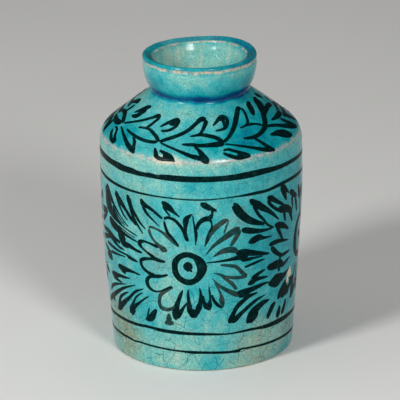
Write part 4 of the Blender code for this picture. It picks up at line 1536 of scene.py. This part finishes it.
LEFT_FRONDS: tuple[Line, ...] = (
    ((-65.4, 32.4, 0.8), (-64.8, 34.4, 1.5), (-62.8, 36.4, 1.7), (-60.2, 38, 1.5),
     (-54.5, 40.3, 1), (-46, 42.8, 0.4)),
    ((-71, 26, 2.2), (-69, 27, 2.4), (-64, 30.4, 2.6), (-61.5, 31.8, 2.3), (-49.5, 39.4, 1.3),
     (-38.6, 44.4, 0.4)),
    ((-63.8, 29.4, 1.6), (-61.8, 29.2, 1.6), (-60.6, 30.4, 1)),
    ((-58, 26, 1.2), (-56.2, 26, 2.4), (-54.5, 27.6, 3.6), (-52, 29.4, 3), (-44.5, 35.6, 1.5),
     (-40.5, 39.4, 1.3), (-38, 41.2, 1.1), (-33, 43.6, 0.4)),
    ((-56, 28.4, 1.4), (-54.6, 30.4, 2), (-53.4, 32.6, 1.8), (-51.6, 34.6, 1.4), (-47, 37.6, 0.9),
     (-44.5, 38.6, 0.4)),
    ((-44.6, 26.6, 1.4), (-43.6, 28.4, 2.8), (-42.6, 30.2, 3.2), (-38, 33.8, 1.3),
     (-32.5, 38.3, 0.8), (-29.7, 40.1, 0.4)),
    ((-44.8, 29.6, 1.2), (-41.6, 33.4, 1.1), (-39.2, 37.2, 1), (-35.6, 40.2, 0.7),
     (-33.8, 41, 0.4)),
    ((-43.8, 26.6, 1.4), (-42.2, 27.2, 1.2), (-41, 28.6, 1), (-40.2, 30.4, 1)),
    ((-33.6, 26.2, 0.8), (-31.3, 26.8, 2.6), (-29, 28.3, 3.6), (-27.5, 30.8, 2.6),
     (-25.4, 33.6, 1.2)),
    ((-32.2, 27.4, 0.8), (-31, 30.8, 0.9), (-30, 33.9, 0.5)),
)
RIGHT_SPRAY: tuple[Line, ...] = (
    ((16.4, 93.9, 1.6), (18.6, 90.8, 2.6), (21.7, 87, 2.2), (25.4, 83.6, 2), (29.8, 80.8, 1.8),
     (34.8, 78.6, 1)),
    ((15.8, 92.4, 1.4), (17.8, 88.6, 1.8), (20.6, 85.2, 1.8), (24.2, 82.3, 1.6), (28.6, 80, 1),
     (34.4, 78, 0.4)),
    ((25.1, 94.4, 1.6), (27.6, 92, 3), (30.6, 89.8, 3.6), (38.4, 84.2, 1.9), (45.1, 78, 0.6)),
    ((27.3, 90.8, 1.6), (30.4, 85.1, 1.4), (33.6, 81.4, 1.2), (36.7, 77.6, 1), (41.1, 74.8, 1)),
    ((35.8, 93.1, 1.4), (38.6, 91.8, 2.8), (41.6, 89.8, 2.2), (49.6, 84.6, 0.8)),
    ((36.4, 91.7, 1.6), (37.9, 88.9, 1.6), (41.1, 85.8, 1.4), (44.8, 83.3, 1.6),
     (48.6, 81.4, 1.4)),
    ((20.4, 78.4, 2.6), (24.8, 77.2, 3), (29.8, 75.9, 2.2), (34.8, 75.2, 1.3), (40.4, 75, 0.8)),
    ((24.5, 70.1, 1.4), (27.3, 71.1, 3.4), (31.1, 72, 3.2), (34.2, 71.1, 1.4), (40.4, 70.6, 0.4)),
    ((22.3, 57, 1), (30.4, 58.6, 1.2), (35.4, 59.2, 0.5)),
    ((17.6, 42.8, 2.8), (21.5, 42.8, 3.6), (25.5, 43.5, 3), (34, 45, 1.5), (39, 45.2, 0.5)),
    ((19.2, 41.2, 1.6), (27, 40.7, 1.3), (31, 41.3, 0.8)),
    ((26.6, 49.6, 2), (30.2, 51.3, 1.9), (33.4, 52.5, 1.3), (36, 53, 0.5)),
    ((24.6, 46.6, 1.8), (27.3, 47.9, 2.6), (30.4, 48.9, 2.2), (38, 48.5, 0.5)),
    ((46.6, 97.4, 2.6), (47.6, 94.4, 3.4), (49.2, 91.4, 3), (51.2, 86.8, 0.8)),
    ((48.3, 96.4, 1.6), (50.8, 93, 1.5), (53.6, 90, 0.7)),
    ((53.8, 91, 1.8), (56.6, 89.4, 3), (59.9, 87, 2.4), (63, 85.2, 2)),
    ((60.6, 86, 1.8), (62.2, 81.4, 2), (63.6, 76.4, 0.8)),
    ((56.8, 88, 1.8), (57.2, 84, 1.4), (58, 79.4, 0.6)),
    ((43.9, 84.6, 1.4), (47.2, 84, 2.4), (50, 83, 3.6), (53, 81.5, 3.4), (55.8, 79.4, 2.6),
     (57, 77, 1.4)),
    ((49.1, 82.4, 2.6), (49.6, 79, 1.9), (50.6, 75.4, 0.7)),
    ((53.8, 80.6, 2), (56, 77, 1.8), (58, 72.6, 0.6)),
    ((41.4, 76.5, 1.6), (44.1, 75.2, 3.2), (47.4, 74.2, 3), (50.6, 72.6, 2.1), (54.2, 70, 0.8)),
    ((43.3, 74.5, 2), (45.5, 71.2, 1.8), (49.4, 64.6, 0.8)),
    ((37.4, 66, 1.4), (41.1, 66.3, 2.2), (46, 66, 1.8), (55, 63.8, 0.4)),
    ((39.1, 64.8, 1.8), (41.6, 62.1, 2.6), (44.9, 59.2, 2), (48, 57.4, 1.8), (52, 57.3, 1.6),
     (56.2, 57.6, 0.8)),
    ((36.6, 54, 2.2), (40, 53.3, 3.8), (44, 53.3, 4.4), (47.4, 52.8, 4), (50, 51.6, 2.2),
     (54, 52.8, 1.3), (57.2, 53.8, 0.4)),
    ((45.5, 55.4, 1.4), (48, 56.3, 1.6)),
    ((37.8, 44, 1.6), (40.8, 44, 4.6), (44.3, 44.2, 7), (48, 44.7, 5), (51, 45, 3), (54, 46, 1.6),
     (57.4, 47.6, 0.6)),
    ((45.8, 48.6, 3), (46.8, 51, 2.8)),
    ((65.3, 91, 2.4), (66.2, 87, 2.8), (66.6, 82.6, 2)),
)
RIGHT_FRONDS: tuple[Line, ...] = (
    ((14, 26.4, 2.2), (15.6, 29, 3), (16.9, 32.4, 2.1), (19.1, 35.8, 2.2), (22.4, 38.3, 2.2),
     (26, 40.2, 1.6), (31, 41.2, 0.6)),
    ((15.8, 26.4, 2.2), (18.4, 28.8, 2.6), (21.4, 31.4, 2.1), (29.2, 36.6, 1.6), (37, 38.8, 0.4)),
    ((25, 24.4, 2), (26.4, 27.6, 3.8), (28.8, 30.6, 4.6), (31.8, 32.8, 3.8), (35.4, 34.4, 2.4),
     (39.8, 35, 0.6)),
    ((26.4, 24.6, 2), (29.6, 27.8, 2.8), (31.6, 30.6, 2.4)),
    ((38.2, 24, 2.2), (42, 30.2, 2.9), (45, 32, 1.4)),
    ((46, 33, 1.8), (49, 36, 4.2), (51.8, 39, 3.8), (53.8, 42, 2)),
    ((49.4, 32.8, 3), (53, 35.4, 4.6), (57, 37.8, 5.2), (61, 39.6, 3.8), (64.4, 40.4, 1.8)),
    ((60, 29, 2), (63, 31, 3.8), (70, 34.4, 1.6)),
    ((46.2, 22.2, 3), (47.8, 25, 3.4), (48.6, 29.2, 1.6)),
    ((50.4, 22.8, 1.8), (52.8, 26, 2.8), (54.6, 31, 1.2)),
)
SECOND_HEART: tuple[Line, ...] = (
    ((73.5, 72.2, 1.6), (70, 72.4, 2.4), (66.6, 70.8, 3), (64.4, 67.4, 3.8), (63.4, 63.4, 4.4),
     (63.3, 59.4, 4.6), (64.2, 55.6, 4.4), (66.4, 52.4, 3.2), (70, 50.6, 2.8), (74.6, 51.6, 2.8),
     (78, 55.2, 3), (79.2, 60.6, 3.4), (78.2, 66.2, 3), (75.4, 70.4, 2.6), (71.6, 72.4, 1.6)),
    ((68.6, 62.2, 5), (71.2, 61.8, 6), (73.6, 61, 5)),
)
SECOND_PETALS: tuple[Line, ...] = (
    ((79, 65.7, 0.7), (82.4, 69.5, 1.2), (86.2, 72.2, 2.4)),
    ((80.2, 70.6, 0.6), (83, 74, 1.3), (86.2, 77, 1.6)),
    ((81.8, 64.8, 0.4), (84, 66, 1), (86.2, 67, 1.5)),
    ((78.8, 61.7, 0.5), (82.4, 61.6, 1), (86.2, 62, 1.6)),
    ((81.8, 60.2, 0.5), (84, 59.6, 1.3), (86.2, 58.9, 2)),
    ((80.8, 50.5, 0.5), (83.4, 46.8, 1.6), (86.2, 44, 2.6)),
)
LEAF_WASHES: tuple[Line, ...] = (
    ((16.8, 92, 2.2), (18.8, 88.8, 3), (21.8, 85.6, 3), (25.5, 82.8, 2.2), (29.6, 80.6, 1.2)),
    ((-62, 91, 2.4), (-60.8, 88, 4), (-59.6, 85, 4.8), (-57.6, 82.8, 4), (-55.4, 81.4, 2.4)),
    ((-50.2, 90.8, 1.8), (-48.6, 88.6, 2.4), (-47, 86.6, 1.4)),
    ((-71, 76, 2.6), (-68, 77.3, 3), (-62.6, 79.1, 1.4)),
    ((58, 37, 4), (55, 35, 4), (51.5, 36, 3)),
)
WALL_MOTIFS = (
    Motif(Ink.BLACK, LEAF_WASHES),
    Motif(Ink.BLACK, ROSETTE_HEART),
    Motif(Ink.BLACK, ROSETTE_CROWN + ROSETTE_ROOT, (0.0, ROSETTE_SPACING)),
    Motif(Ink.BROWN, ROSETTE_ROOT_BROWN, (0.0, ROSETTE_SPACING)),
    Motif(Ink.BLACK, RIGHT_PETALS + LEFT_PETALS),
    Motif(Ink.BROWN, RIGHT_PETALS_BROWN + LEFT_PETALS_BROWN),
    Motif(Ink.BLACK, LEFT_SPRAY, (0.0,), 1.16),
    Motif(Ink.BLACK, LEFT_FRONDS + RIGHT_SPRAY + RIGHT_FRONDS),
    Motif(Ink.BLACK, SECOND_HEART + SECOND_PETALS),
)

SCROLL: tuple[Line, ...] = (
    ((-66.6, 131.3, 1.2), (-60.6, 133.1, 2), (-58.1, 133.3, 2.2), (-55.6, 132.7, 2.4),
     (-50.6, 130.1, 2.4), (-49.4, 129, 2)),
    ((-66.6, 127.9, 1.6), (-62.6, 127.3, 2), (-55.6, 127.5, 2.7), (-50.1, 128.9, 2.2)),
    ((-68.6, 135.5, 2), (-62.6, 140.5, 2.6), (-60.2, 141.9, 3), (-57.6, 142.4, 3),
     (-55.6, 141.5, 2)),
    ((-56.6, 140.3, 2.6), (-58.6, 135.3, 1.8), (-60.1, 134, 1)),
    ((-49.6, 137.3, 0.9), (-44.1, 141.8, 2.8), (-41.9, 143.3, 2.8), (-39.8, 144.1, 2),
     (-38.6, 143.7, 1)),
    ((-40.4, 142.5, 2), (-43.8, 137.5, 2.8), (-46, 136.1, 2), (-49.2, 135.5, 0.8)),
    ((-46.2, 138.7, 2), (-43.6, 140.1, 3)),
    ((-49.1, 129.5, 1), (-33.6, 138.3, 1.4), (-29.1, 141.2, 2), (-27.3, 140.8, 1.8),
     (-27.9, 138.5, 1.6), (-30.6, 133.8, 1.3), (-32.2, 132.7, 1)),
    ((-48.6, 127.5, 0.8), (-45.6, 126.6, 0.9), (-39.6, 123.7, 1.3), (-34.1, 120.4, 1.8),
     (-31.6, 119.2, 2.2), (-29, 117.3, 1.2)),
    ((-35.6, 125.8, 0.8), (-33.6, 124.8, 1), (-32.1, 123.1, 1.2), (-30.6, 119.5, 1.5),
     (-29.6, 118, 1.4)),
    ((-52.8, 125.3, 0.8), (-50.6, 125.4, 1), (-48.6, 124.5, 1.2), (-45.6, 121.2, 1.3),
     (-43.9, 119.8, 1.6), (-42.4, 118.4, 1.2)),
    ((-52.4, 123.8, 1), (-51.1, 122.3, 1.3), (-47.1, 119.4, 1.5), (-42.6, 118.2, 1.2)),
    ((-46.1, 120, 1.5), (-44.1, 119.2, 1.6)),
    ((-61, 126.8, 1.8), (-59.9, 122.2, 2.8), (-58.9, 119.8, 2.4), (-58.2, 117.7, 1.2)),
    ((-67.6, 125.5, 2), (-62.1, 122.3, 2.8), (-60.1, 120.5, 2.4), (-58.4, 118.1, 1.4)),
    ((-36.6, 131.8, 0.8), (-30.6, 132.7, 1), (-27.6, 132.3, 1.2), (-22.6, 129.4, 1.4),
     (-20.1, 126.5, 1.4)),
    ((-42.9, 128.3, 0.8), (-39.6, 127.5, 1), (-27.6, 125.8, 1.4), (-20.6, 126.5, 1.4)),
    ((-23.6, 135.3, 0.8), (-19.6, 138.7, 1.6), (-15.6, 140.5, 2.4), (-13.8, 140.6, 2.2),
     (-13.6, 138.8, 1.6), (-14.8, 136.5, 1.4), (-17.1, 134.5, 1.3), (-19.6, 133.6, 1.2),
     (-22.1, 133.4, 0.8)),
    ((-19.1, 138.5, 1), (-16.6, 138, 1.4), (-14.6, 139, 1.4)),
    ((-20.8, 123.3, 0.8), (-19.3, 120, 1.4), (-18.6, 118.4, 1.6), (-16.6, 117.5, 1.4),
     (-14.1, 117.7, 1.6), (-12.1, 117.5, 1.2), (-10.2, 116.7, 0.3)),
    ((-18.4, 122.3, 0.8), (-14.6, 120.3, 1.8), (-13.1, 119.1, 2.4), (-10.2, 116.7, 0.3)),
    ((-15.8, 120.7, 0.9), (-14.8, 119.3, 2), (-14, 118.3, 1.6)),
    ((-20.1, 126.8, 1), (-17.6, 128.5, 1.6), (-8.6, 133.9, 1.6), (-2.6, 139.5, 1.8),
     (-0.6, 141.5, 2.2), (1.9, 142.3, 2.4), (4, 141.7, 1.8)),
    ((3.8, 141.9, 2), (3.2, 139.8, 2), (0.8, 135, 1.2), (-1.1, 133, 1), (-5.6, 131.6, 0.6)),
    ((-19.6, 126.7, 0.8), (-10.6, 123.3, 1.1), (-4.6, 120.4, 1.6), (-2.6, 119.7, 2),
     (0.4, 118.5, 1.8), (1.9, 117.3, 2), (3, 115.8, 1.2)),
    ((-3.1, 126.2, 0.9), (-0.6, 123.3, 1.3), (1.2, 119.5, 2.4), (2.2, 117.5, 2.2),
     (2.9, 115.9, 1)),
    ((-4.6, 131.8, 1), (-1.6, 132.6, 1.2), (1.4, 132.7, 1.6), (7.4, 130.8, 1.8),
     (11.2, 127.4, 1.6)),
    ((-9.1, 126.9, 0.8), (-3.6, 126.8, 1.6), (0.4, 126.4, 1.6), (9.4, 126.8, 2.6),
     (11.4, 126.9, 2)),
    ((6.9, 137.5, 0.6), (10.9, 141, 1.6), (12.9, 142.3, 2), (14.9, 142.3, 2.4), (16.7, 141.1, 2),
     (16.4, 139, 1.6), (14.7, 136.7, 1.6), (12.4, 135.3, 1.2), (7.9, 134.7, 0.8)),
    ((14.6, 141.3, 2.4), (14, 139.1, 1.3), (13.4, 136.5, 0.8)),
    ((11.6, 140.5, 1.4), (13.8, 141.5, 2)),
    ((10.6, 127.4, 1.4), (13.9, 130, 1.3), (18.4, 134.8, 1.9), (23.4, 140.7, 2.4),
     (27.9, 145, 2.2), (29.9, 145.5, 1.8), (31.3, 145, 1.6)),
    ((31.4, 145.5, 2), (31.2, 141.5, 1.5), (29.1, 136.7, 1.3), (27.4, 135.3, 1.1),
     (24.9, 134.6, 0.9), (21.9, 134.3, 0.7)),
    ((11, 126.5, 0.8), (14.4, 125.5, 0.8), (20.4, 123.1, 1.2), (27.9, 119.1, 1.7),
     (30.4, 118.1, 1.8), (32.9, 117.1, 1)),
    ((26.4, 127, 1), (28.9, 123.3, 1.4), (30.7, 119.5, 2), (32.4, 117.5, 1.5), (33.7, 116.6, 0.8)),
    ((9.7, 122.1, 0.8), (10.7, 123, 1), (12.4, 123, 1.2), (13.9, 122.1, 1.3), (19.6, 118.7, 1.2),
     (21.2, 117.7, 0.4)),
    ((9.7, 121.9, 1), (10.7, 120.4, 1.2), (14.9, 117.8, 1.6), (19.6, 117.3, 0.9),
     (21.2, 117.5, 0.4)),
    ((14.9, 119.5, 2), (17.4, 118.7, 2.2), (19.2, 118.1, 1)),
    ((26.4, 134.9, 0.9), (29.4, 134.8, 1.2), (32.4, 134.2, 1.1), (34.9, 133, 1.1),
     (36.7, 131.4, 1.2)),
    ((20.9, 128.1, 0.9), (26.4, 127.3, 1.6), (32.4, 128.4, 1.7), (38.4, 131.6, 2.5),
     (44.2, 137.1, 3), (49.4, 142.9, 4.2), (52, 144.9, 3.7), (54.8, 145.7, 2)),
    ((54.4, 144.3, 2.2), (51.8, 141.3, 2.5), (48.8, 138.9, 2), (46.4, 136.9, 1)),
    ((36, 138.4, 1.4), (37, 140.5, 3), (38.4, 142.7, 4), (39.8, 144.5, 4), (41.6, 145.8, 2.8),
     (43.4, 145.9, 0.8)),
    ((36, 125.3, 0.8), (39.4, 124.7, 2), (41.8, 123.9, 3.5), (44.4, 122.5, 4.4),
     (47.2, 120.7, 3.9), (49.8, 119.2, 2)),
    ((37.9, 130.5, 1), (42.4, 129.4, 1.5), (46.4, 127.6, 1.7), (54.4, 122.6, 3),
     (58.4, 120.5, 2.5), (60.4, 119.3, 1.3)),
    ((53, 129.5, 1.5), (55, 126.5, 2.2), (57.4, 123.3, 2.2), (59.4, 120.3, 1.3)),
    ((43.8, 135.7, 1.3), (47.4, 137.4, 2.2), (52.4, 138, 2.2), (57.4, 137.9, 2.2),
     (63.4, 136.5, 2.2)),
    ((45.4, 131.9, 0.8), (53.4, 131.1, 2.2), (57.4, 130.9, 2.5), (62.4, 130.1, 2)),
    ((57, 146.9, 1.7), (60.4, 145.1, 2.9), (63.8, 142.3, 2.9)),
    ((61, 126.9, 1.7), (63.4, 124.9, 2.5), (65.8, 121.9, 2)),
)
SCROLL_MOTIFS = (Motif(Ink.BLACK, SCROLL),)
LINE_MOTIFS = (Motif(Ink.BLACK, RULED_LINES),)


# The bare clay


@dataclass
class TurnedClay:
    """The clay that shows under the foot: the wall with its foot ring, and the floor in it."""

    outline: Outline
    clay_depth: float = 0.9 * MM
    clay_thickness: float = 4.4 * MM
    foot_ring: float = 7.0 * MM
    foot_bevel: float = 1.0 * MM
    edge_round: float = 0.45 * MM
    ledge: float = 4.5 * MM
    gap: float = 0.3 * MM
    tongue_height: float = 2.5 * MM
    stretch: float = 2.0 * MM
    wall_steps: int = 12
    sides: int = 240
    wobble: float = 0.22 * MM
    wobble_size: float = 14.0 * MM
    hub_radius: float = 5.0 * MM
    hub_height: float = 0.5 * MM

    def wall_line(self, bottom: float, top: float, depth: float) -> list[tuple[float, float]]:
        """Return points of the wall's outline, set in by a depth.

        Args:
            bottom: First level.
            top: Last level.
            depth: How far inside the finished outline.

        Returns:
            Points as (radius, level).
        """
        steps = self.wall_steps
        levels = [bottom + (top - bottom) * i / steps for i in range(steps + 1)]
        return [(self.outline.wall_radius(level) - depth, level) for level in levels]

    def softened(self, section: list[tuple[float, float]],
                 closed: bool) -> list[tuple[float, float]]:
        """Cut every corner of a section by the edge's round and split its long straights.

        Args:
            section: The section's corners.
            closed: Whether it comes back to its first corner.

        Returns:
            The finer section.
        """
        count, fine = len(section), []
        for i, point in enumerate(section):
            ends = not closed and i in (0, count - 1)
            before, after = section[i - 1], section[(i + 1) % count]
            cut = []
            for other in () if ends else (before, after):
                reach = min(self.edge_round, math.dist(point, other) / 3)
                share = reach / math.dist(point, other)
                cut.append(tuple(p + (o - p) * share for p, o in zip(point, other)))
            if cut:
                middle = tuple((a + b) / 4 + p / 2 for a, b, p in zip(cut[0], cut[1], point))
                cut = [cut[0], middle, cut[1]]
            fine += cut or [point]
        split = []
        for i, point in enumerate(fine):
            split.append(point)
            if closed or i < len(fine) - 1:
                after = fine[(i + 1) % len(fine)]
                parts = math.ceil(math.dist(point, after) / self.stretch)
                split += [tuple(a + (b - a) * k / parts for a, b in zip(point, after))
                          for k in range(1, parts)]
        return split

    def tree(self) -> Tree:
        """Build the tree that turns a section about the vase's axis."""
        made = Tree("turned_clay", {"Sides": int, "Wobble": float, "Wobble Size": float,
                                    "Finish": bpy.types.Material})
        wires, given = made.wires, made.given
        section = wires.get("GeometryNodeMeshToCurve", {"Mesh": made.geometry})
        section = made.store(section, "section", wires.get("GeometryNodeInputPosition", {}),
                             "FLOAT_VECTOR")
        path = wires.get("GeometryNodeCurvePrimitiveCircle", {"Resolution": given["Sides"]})
        turn = wires.get("GeometryNodeSplineParameter", {}) * (2 * math.pi)
        path = made.store(path, "turn", turn)
        swept = wires.get("GeometryNodeCurveToMesh", {"Curve": path, "Profile Curve": section})
        place = HandWork.turned(wires, made.stored("section", "FLOAT_VECTOR"), made.stored("turn"))
        clouds = wires.get("ShaderNodeTexNoise", {
            "Vector": place, "Scale": given["Wobble Size"].reckon("POWER", -1.0), "Detail": 2.0}, 1)
        shift = wires.vector("SCALE", wires.vector("SUBTRACT", clouds, (0.5, 0.5, 0.5)),
                             given["Wobble"])
        turned = wires.get("GeometryNodeSetPosition", {
            "Geometry": swept, "Position": place, "Offset": shift})
        merged = wires.get("GeometryNodeMergeByDistance",
                           {"Geometry": turned, "Distance": MERGE_DISTANCE})
        made.finish(merged, given["Finish"])
        return made

    def build(self, finish: bpy.types.Material) -> None:
        """Turn the wall and the floor.

        Args:
            finish: The clay's material.
        """
        inside = self.clay_depth + self.clay_thickness
        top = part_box("body_wall")[1].z - self.tongue_height
        foot = self.outline.wall_radius(0.0) - self.clay_depth
        hole = foot - self.foot_ring
        outer = [(foot - self.foot_bevel, 0.0),
                 *self.wall_line(self.foot_bevel, top, self.clay_depth)]
        inner = self.wall_line(top, self.ledge, inside)
        third = (outer[-1][0] - inner[0][0]) / 3
        tongue = [(outer[-1][0] - third, top), (outer[-1][0] - third, top + self.tongue_height),
                  (inner[0][0] + third, top + self.tongue_height), (inner[0][0] + third, top)]
        wall = [*outer, *tongue, *inner, (hole, self.ledge), (hole, 0.0)]
        low, high = (corner.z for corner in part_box("floor_slab"))
        step = self.ledge + self.gap
        edge = inside + self.gap
        floor = [(0.0, low + self.hub_height), (self.hub_radius, low + self.hub_height / 2),
                 (2 * self.hub_radius, low), (hole - self.gap, low), (hole - self.gap, step),
                 (self.outline.wall_radius(step) - edge, step),
                 (self.outline.wall_radius(high) - edge, high), (0.0, high)]
        tree = self.tree()
        for name, section, closed, node in (("turned_wall", wall, True, "body_wall"),
                                            ("turned_floor", floor, False, "floor_slab")):
            fine = self.softened(section, closed)
            edges = [(i, i + 1) for i in range(len(fine) - 1)] + [(len(fine) - 1, 0)] * closed
            base = bpy.data.meshes.new(name)
            base.from_pydata([(radius, 0.0, level) for radius, level in fine], edges, [])
            piece = tree.apply(name, base, {
                "Sides": self.sides, "Wobble": self.wobble, "Wobble Size": self.wobble_size,
                "Finish": finish})
            settle(piece, "fired_clay", node)


# The studio


@dataclass(frozen=True)
class SoftLight:
    """A soft studio light: its direction as seen from the vase, its distance, size and strength."""

    name: str
    azimuth: float
    elevation: float
    distance: float
    size: float
    watts: float

    def build(self, aim: Vector) -> None:
        """Set the light, its azimuth counted from the viewer's side.

        Args:
            aim: The point that it is turned towards.
        """
        turn, rise = math.radians(self.azimuth), math.radians(self.elevation)
        away = Vector((math.sin(turn) * math.cos(rise), -math.cos(turn) * math.cos(rise),
                       math.sin(rise)))
        lamp = bpy.data.lights.new(self.name, "AREA")
        lamp.shape = "DISK"
        lamp.size = self.size
        lamp.energy = self.watts
        light = bpy.data.objects.new(self.name, lamp)
        light.matrix_world = Matrix.Translation(aim + away * self.distance) @ (
            away.to_track_quat("Z", "Y").to_matrix().to_4x4())
        bpy.context.collection.objects.link(light)


@dataclass
class Studio:
    """Floor, lights and camera."""

    aim: Vector = field(default_factory=lambda: Vector((-0.00068, 0.0, 0.07693)))
    floor_reach: float = 3.0
    distance: float = 2.6
    elevation: float = 20.58
    roll: float = -0.74
    lens: float = 450.0
    sensor: float = 36.0
    nearest: float = 0.1
    farthest: float = 20.0
    lights: tuple[SoftLight, ...] = (
        SoftLight("key_light", -46.0, 32.0, 1.5, 0.32, 13.4),
        SoftLight("second_light", 24.0, 30.0, 1.6, 0.40, 10.4),
        SoftLight("fill_light", -100.0, 60.0, 1.8, 1.4, 2.4),
        SoftLight("back_light", 165.0, 66.0, 1.8, 1.6, 4.6),
    )
    air: float = 0.06

    def build(self, finish: bpy.types.Material) -> None:
        """Set the floor, the lights, the camera and the room's own light.

        Args:
            finish: The floor's material.
        """
        corners = ((-1, -1), (1, -1), (1, 1), (-1, 1))
        mesh = bpy.data.meshes.new("floor")
        mesh.from_pydata([(x * self.floor_reach, y * self.floor_reach, 0.0) for x, y in corners],
                         [], [(0, 1, 2, 3)])
        mesh.materials.append(finish)
        floor = bpy.data.objects.new("floor", mesh)
        bpy.context.collection.objects.link(floor)
        for light in self.lights:
            light.build(self.aim)
        world = bpy.data.worlds.new("studio_air")
        world.use_nodes = True
        background = world.node_tree.nodes["Background"].inputs
        background["Color"].default_value = (1.0, 1.0, 1.0, 1.0)
        background["Strength"].default_value = self.air
        bpy.context.scene.world = world
        bpy.context.scene.view_settings.view_transform = "Standard"
        self.camera()

    def camera(self) -> None:
        """Place the camera where the photographer's stood, with its small tilt to one side."""
        rise = math.radians(self.elevation)
        look = Matrix.Rotation(math.pi / 2 - rise, 4, "X")
        tilt = Matrix.Rotation(math.radians(self.roll), 4, "Z")
        place = self.aim + Vector((0.0, -math.cos(rise), math.sin(rise))) * self.distance
        lens = bpy.data.cameras.new("camera")
        lens.lens = self.lens
        lens.sensor_width = self.sensor
        lens.clip_start, lens.clip_end = self.nearest, self.farthest
        camera = bpy.data.objects.new("camera", lens)
        camera.matrix_world = Matrix.Translation(place) @ look @ tilt
        bpy.context.collection.objects.link(camera)
        bpy.context.scene.camera = camera


def main() -> None:
    """Build the vase's looks in order."""
    logging.basicConfig(level=logging.INFO, format="%(message)s")
    outline = Outline()
    hand = HandWork()
    group = hand.group(outline)
    guide = outline.guide()
    glaze = GlazeFinish()
    body = glaze.group(outline, hand.chips)
    glaze_material = glaze.material(body)
    ink_material = InkFinish().material(body)
    clay = ClayFinish("sandy_clay", (206, 180, 142), (168, 136, 98)).material()
    luting = ClayFinish("luting_clay", (190, 160, 120), (150, 118, 84)).material()
    GlazeCoats(outline).build(group, guide, glaze_material)
    TurnedClay(outline).build(clay)
    brush = Brush()
    tree = brush.tree(group)
    for painting in (Painting("painted_panels", WALL_MOTIFS, 51.0 * MM),
                     Painting("painted_scroll", SCROLL_MOTIFS, 40.0 * MM, 1.12, 2, 59.5),
                     Painting("painted_lines", LINE_MOTIFS, 51.0 * MM, 1.0, 1)):
        painting.build(tree, brush, guide, ink_material)
    for name, finish in (("shoulder", clay), ("neck_collar", clay), ("mouth_cup", clay),
                         ("floor_seam_coil", luting), ("shoulder_seam_coil", luting)):
        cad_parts[name].data.materials.clear()
        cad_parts[name].data.materials.append(finish)
    bpy.data.objects.remove(guide)
    Studio().build(FloorFinish().material())


if __name__ == "__main__":
    main()
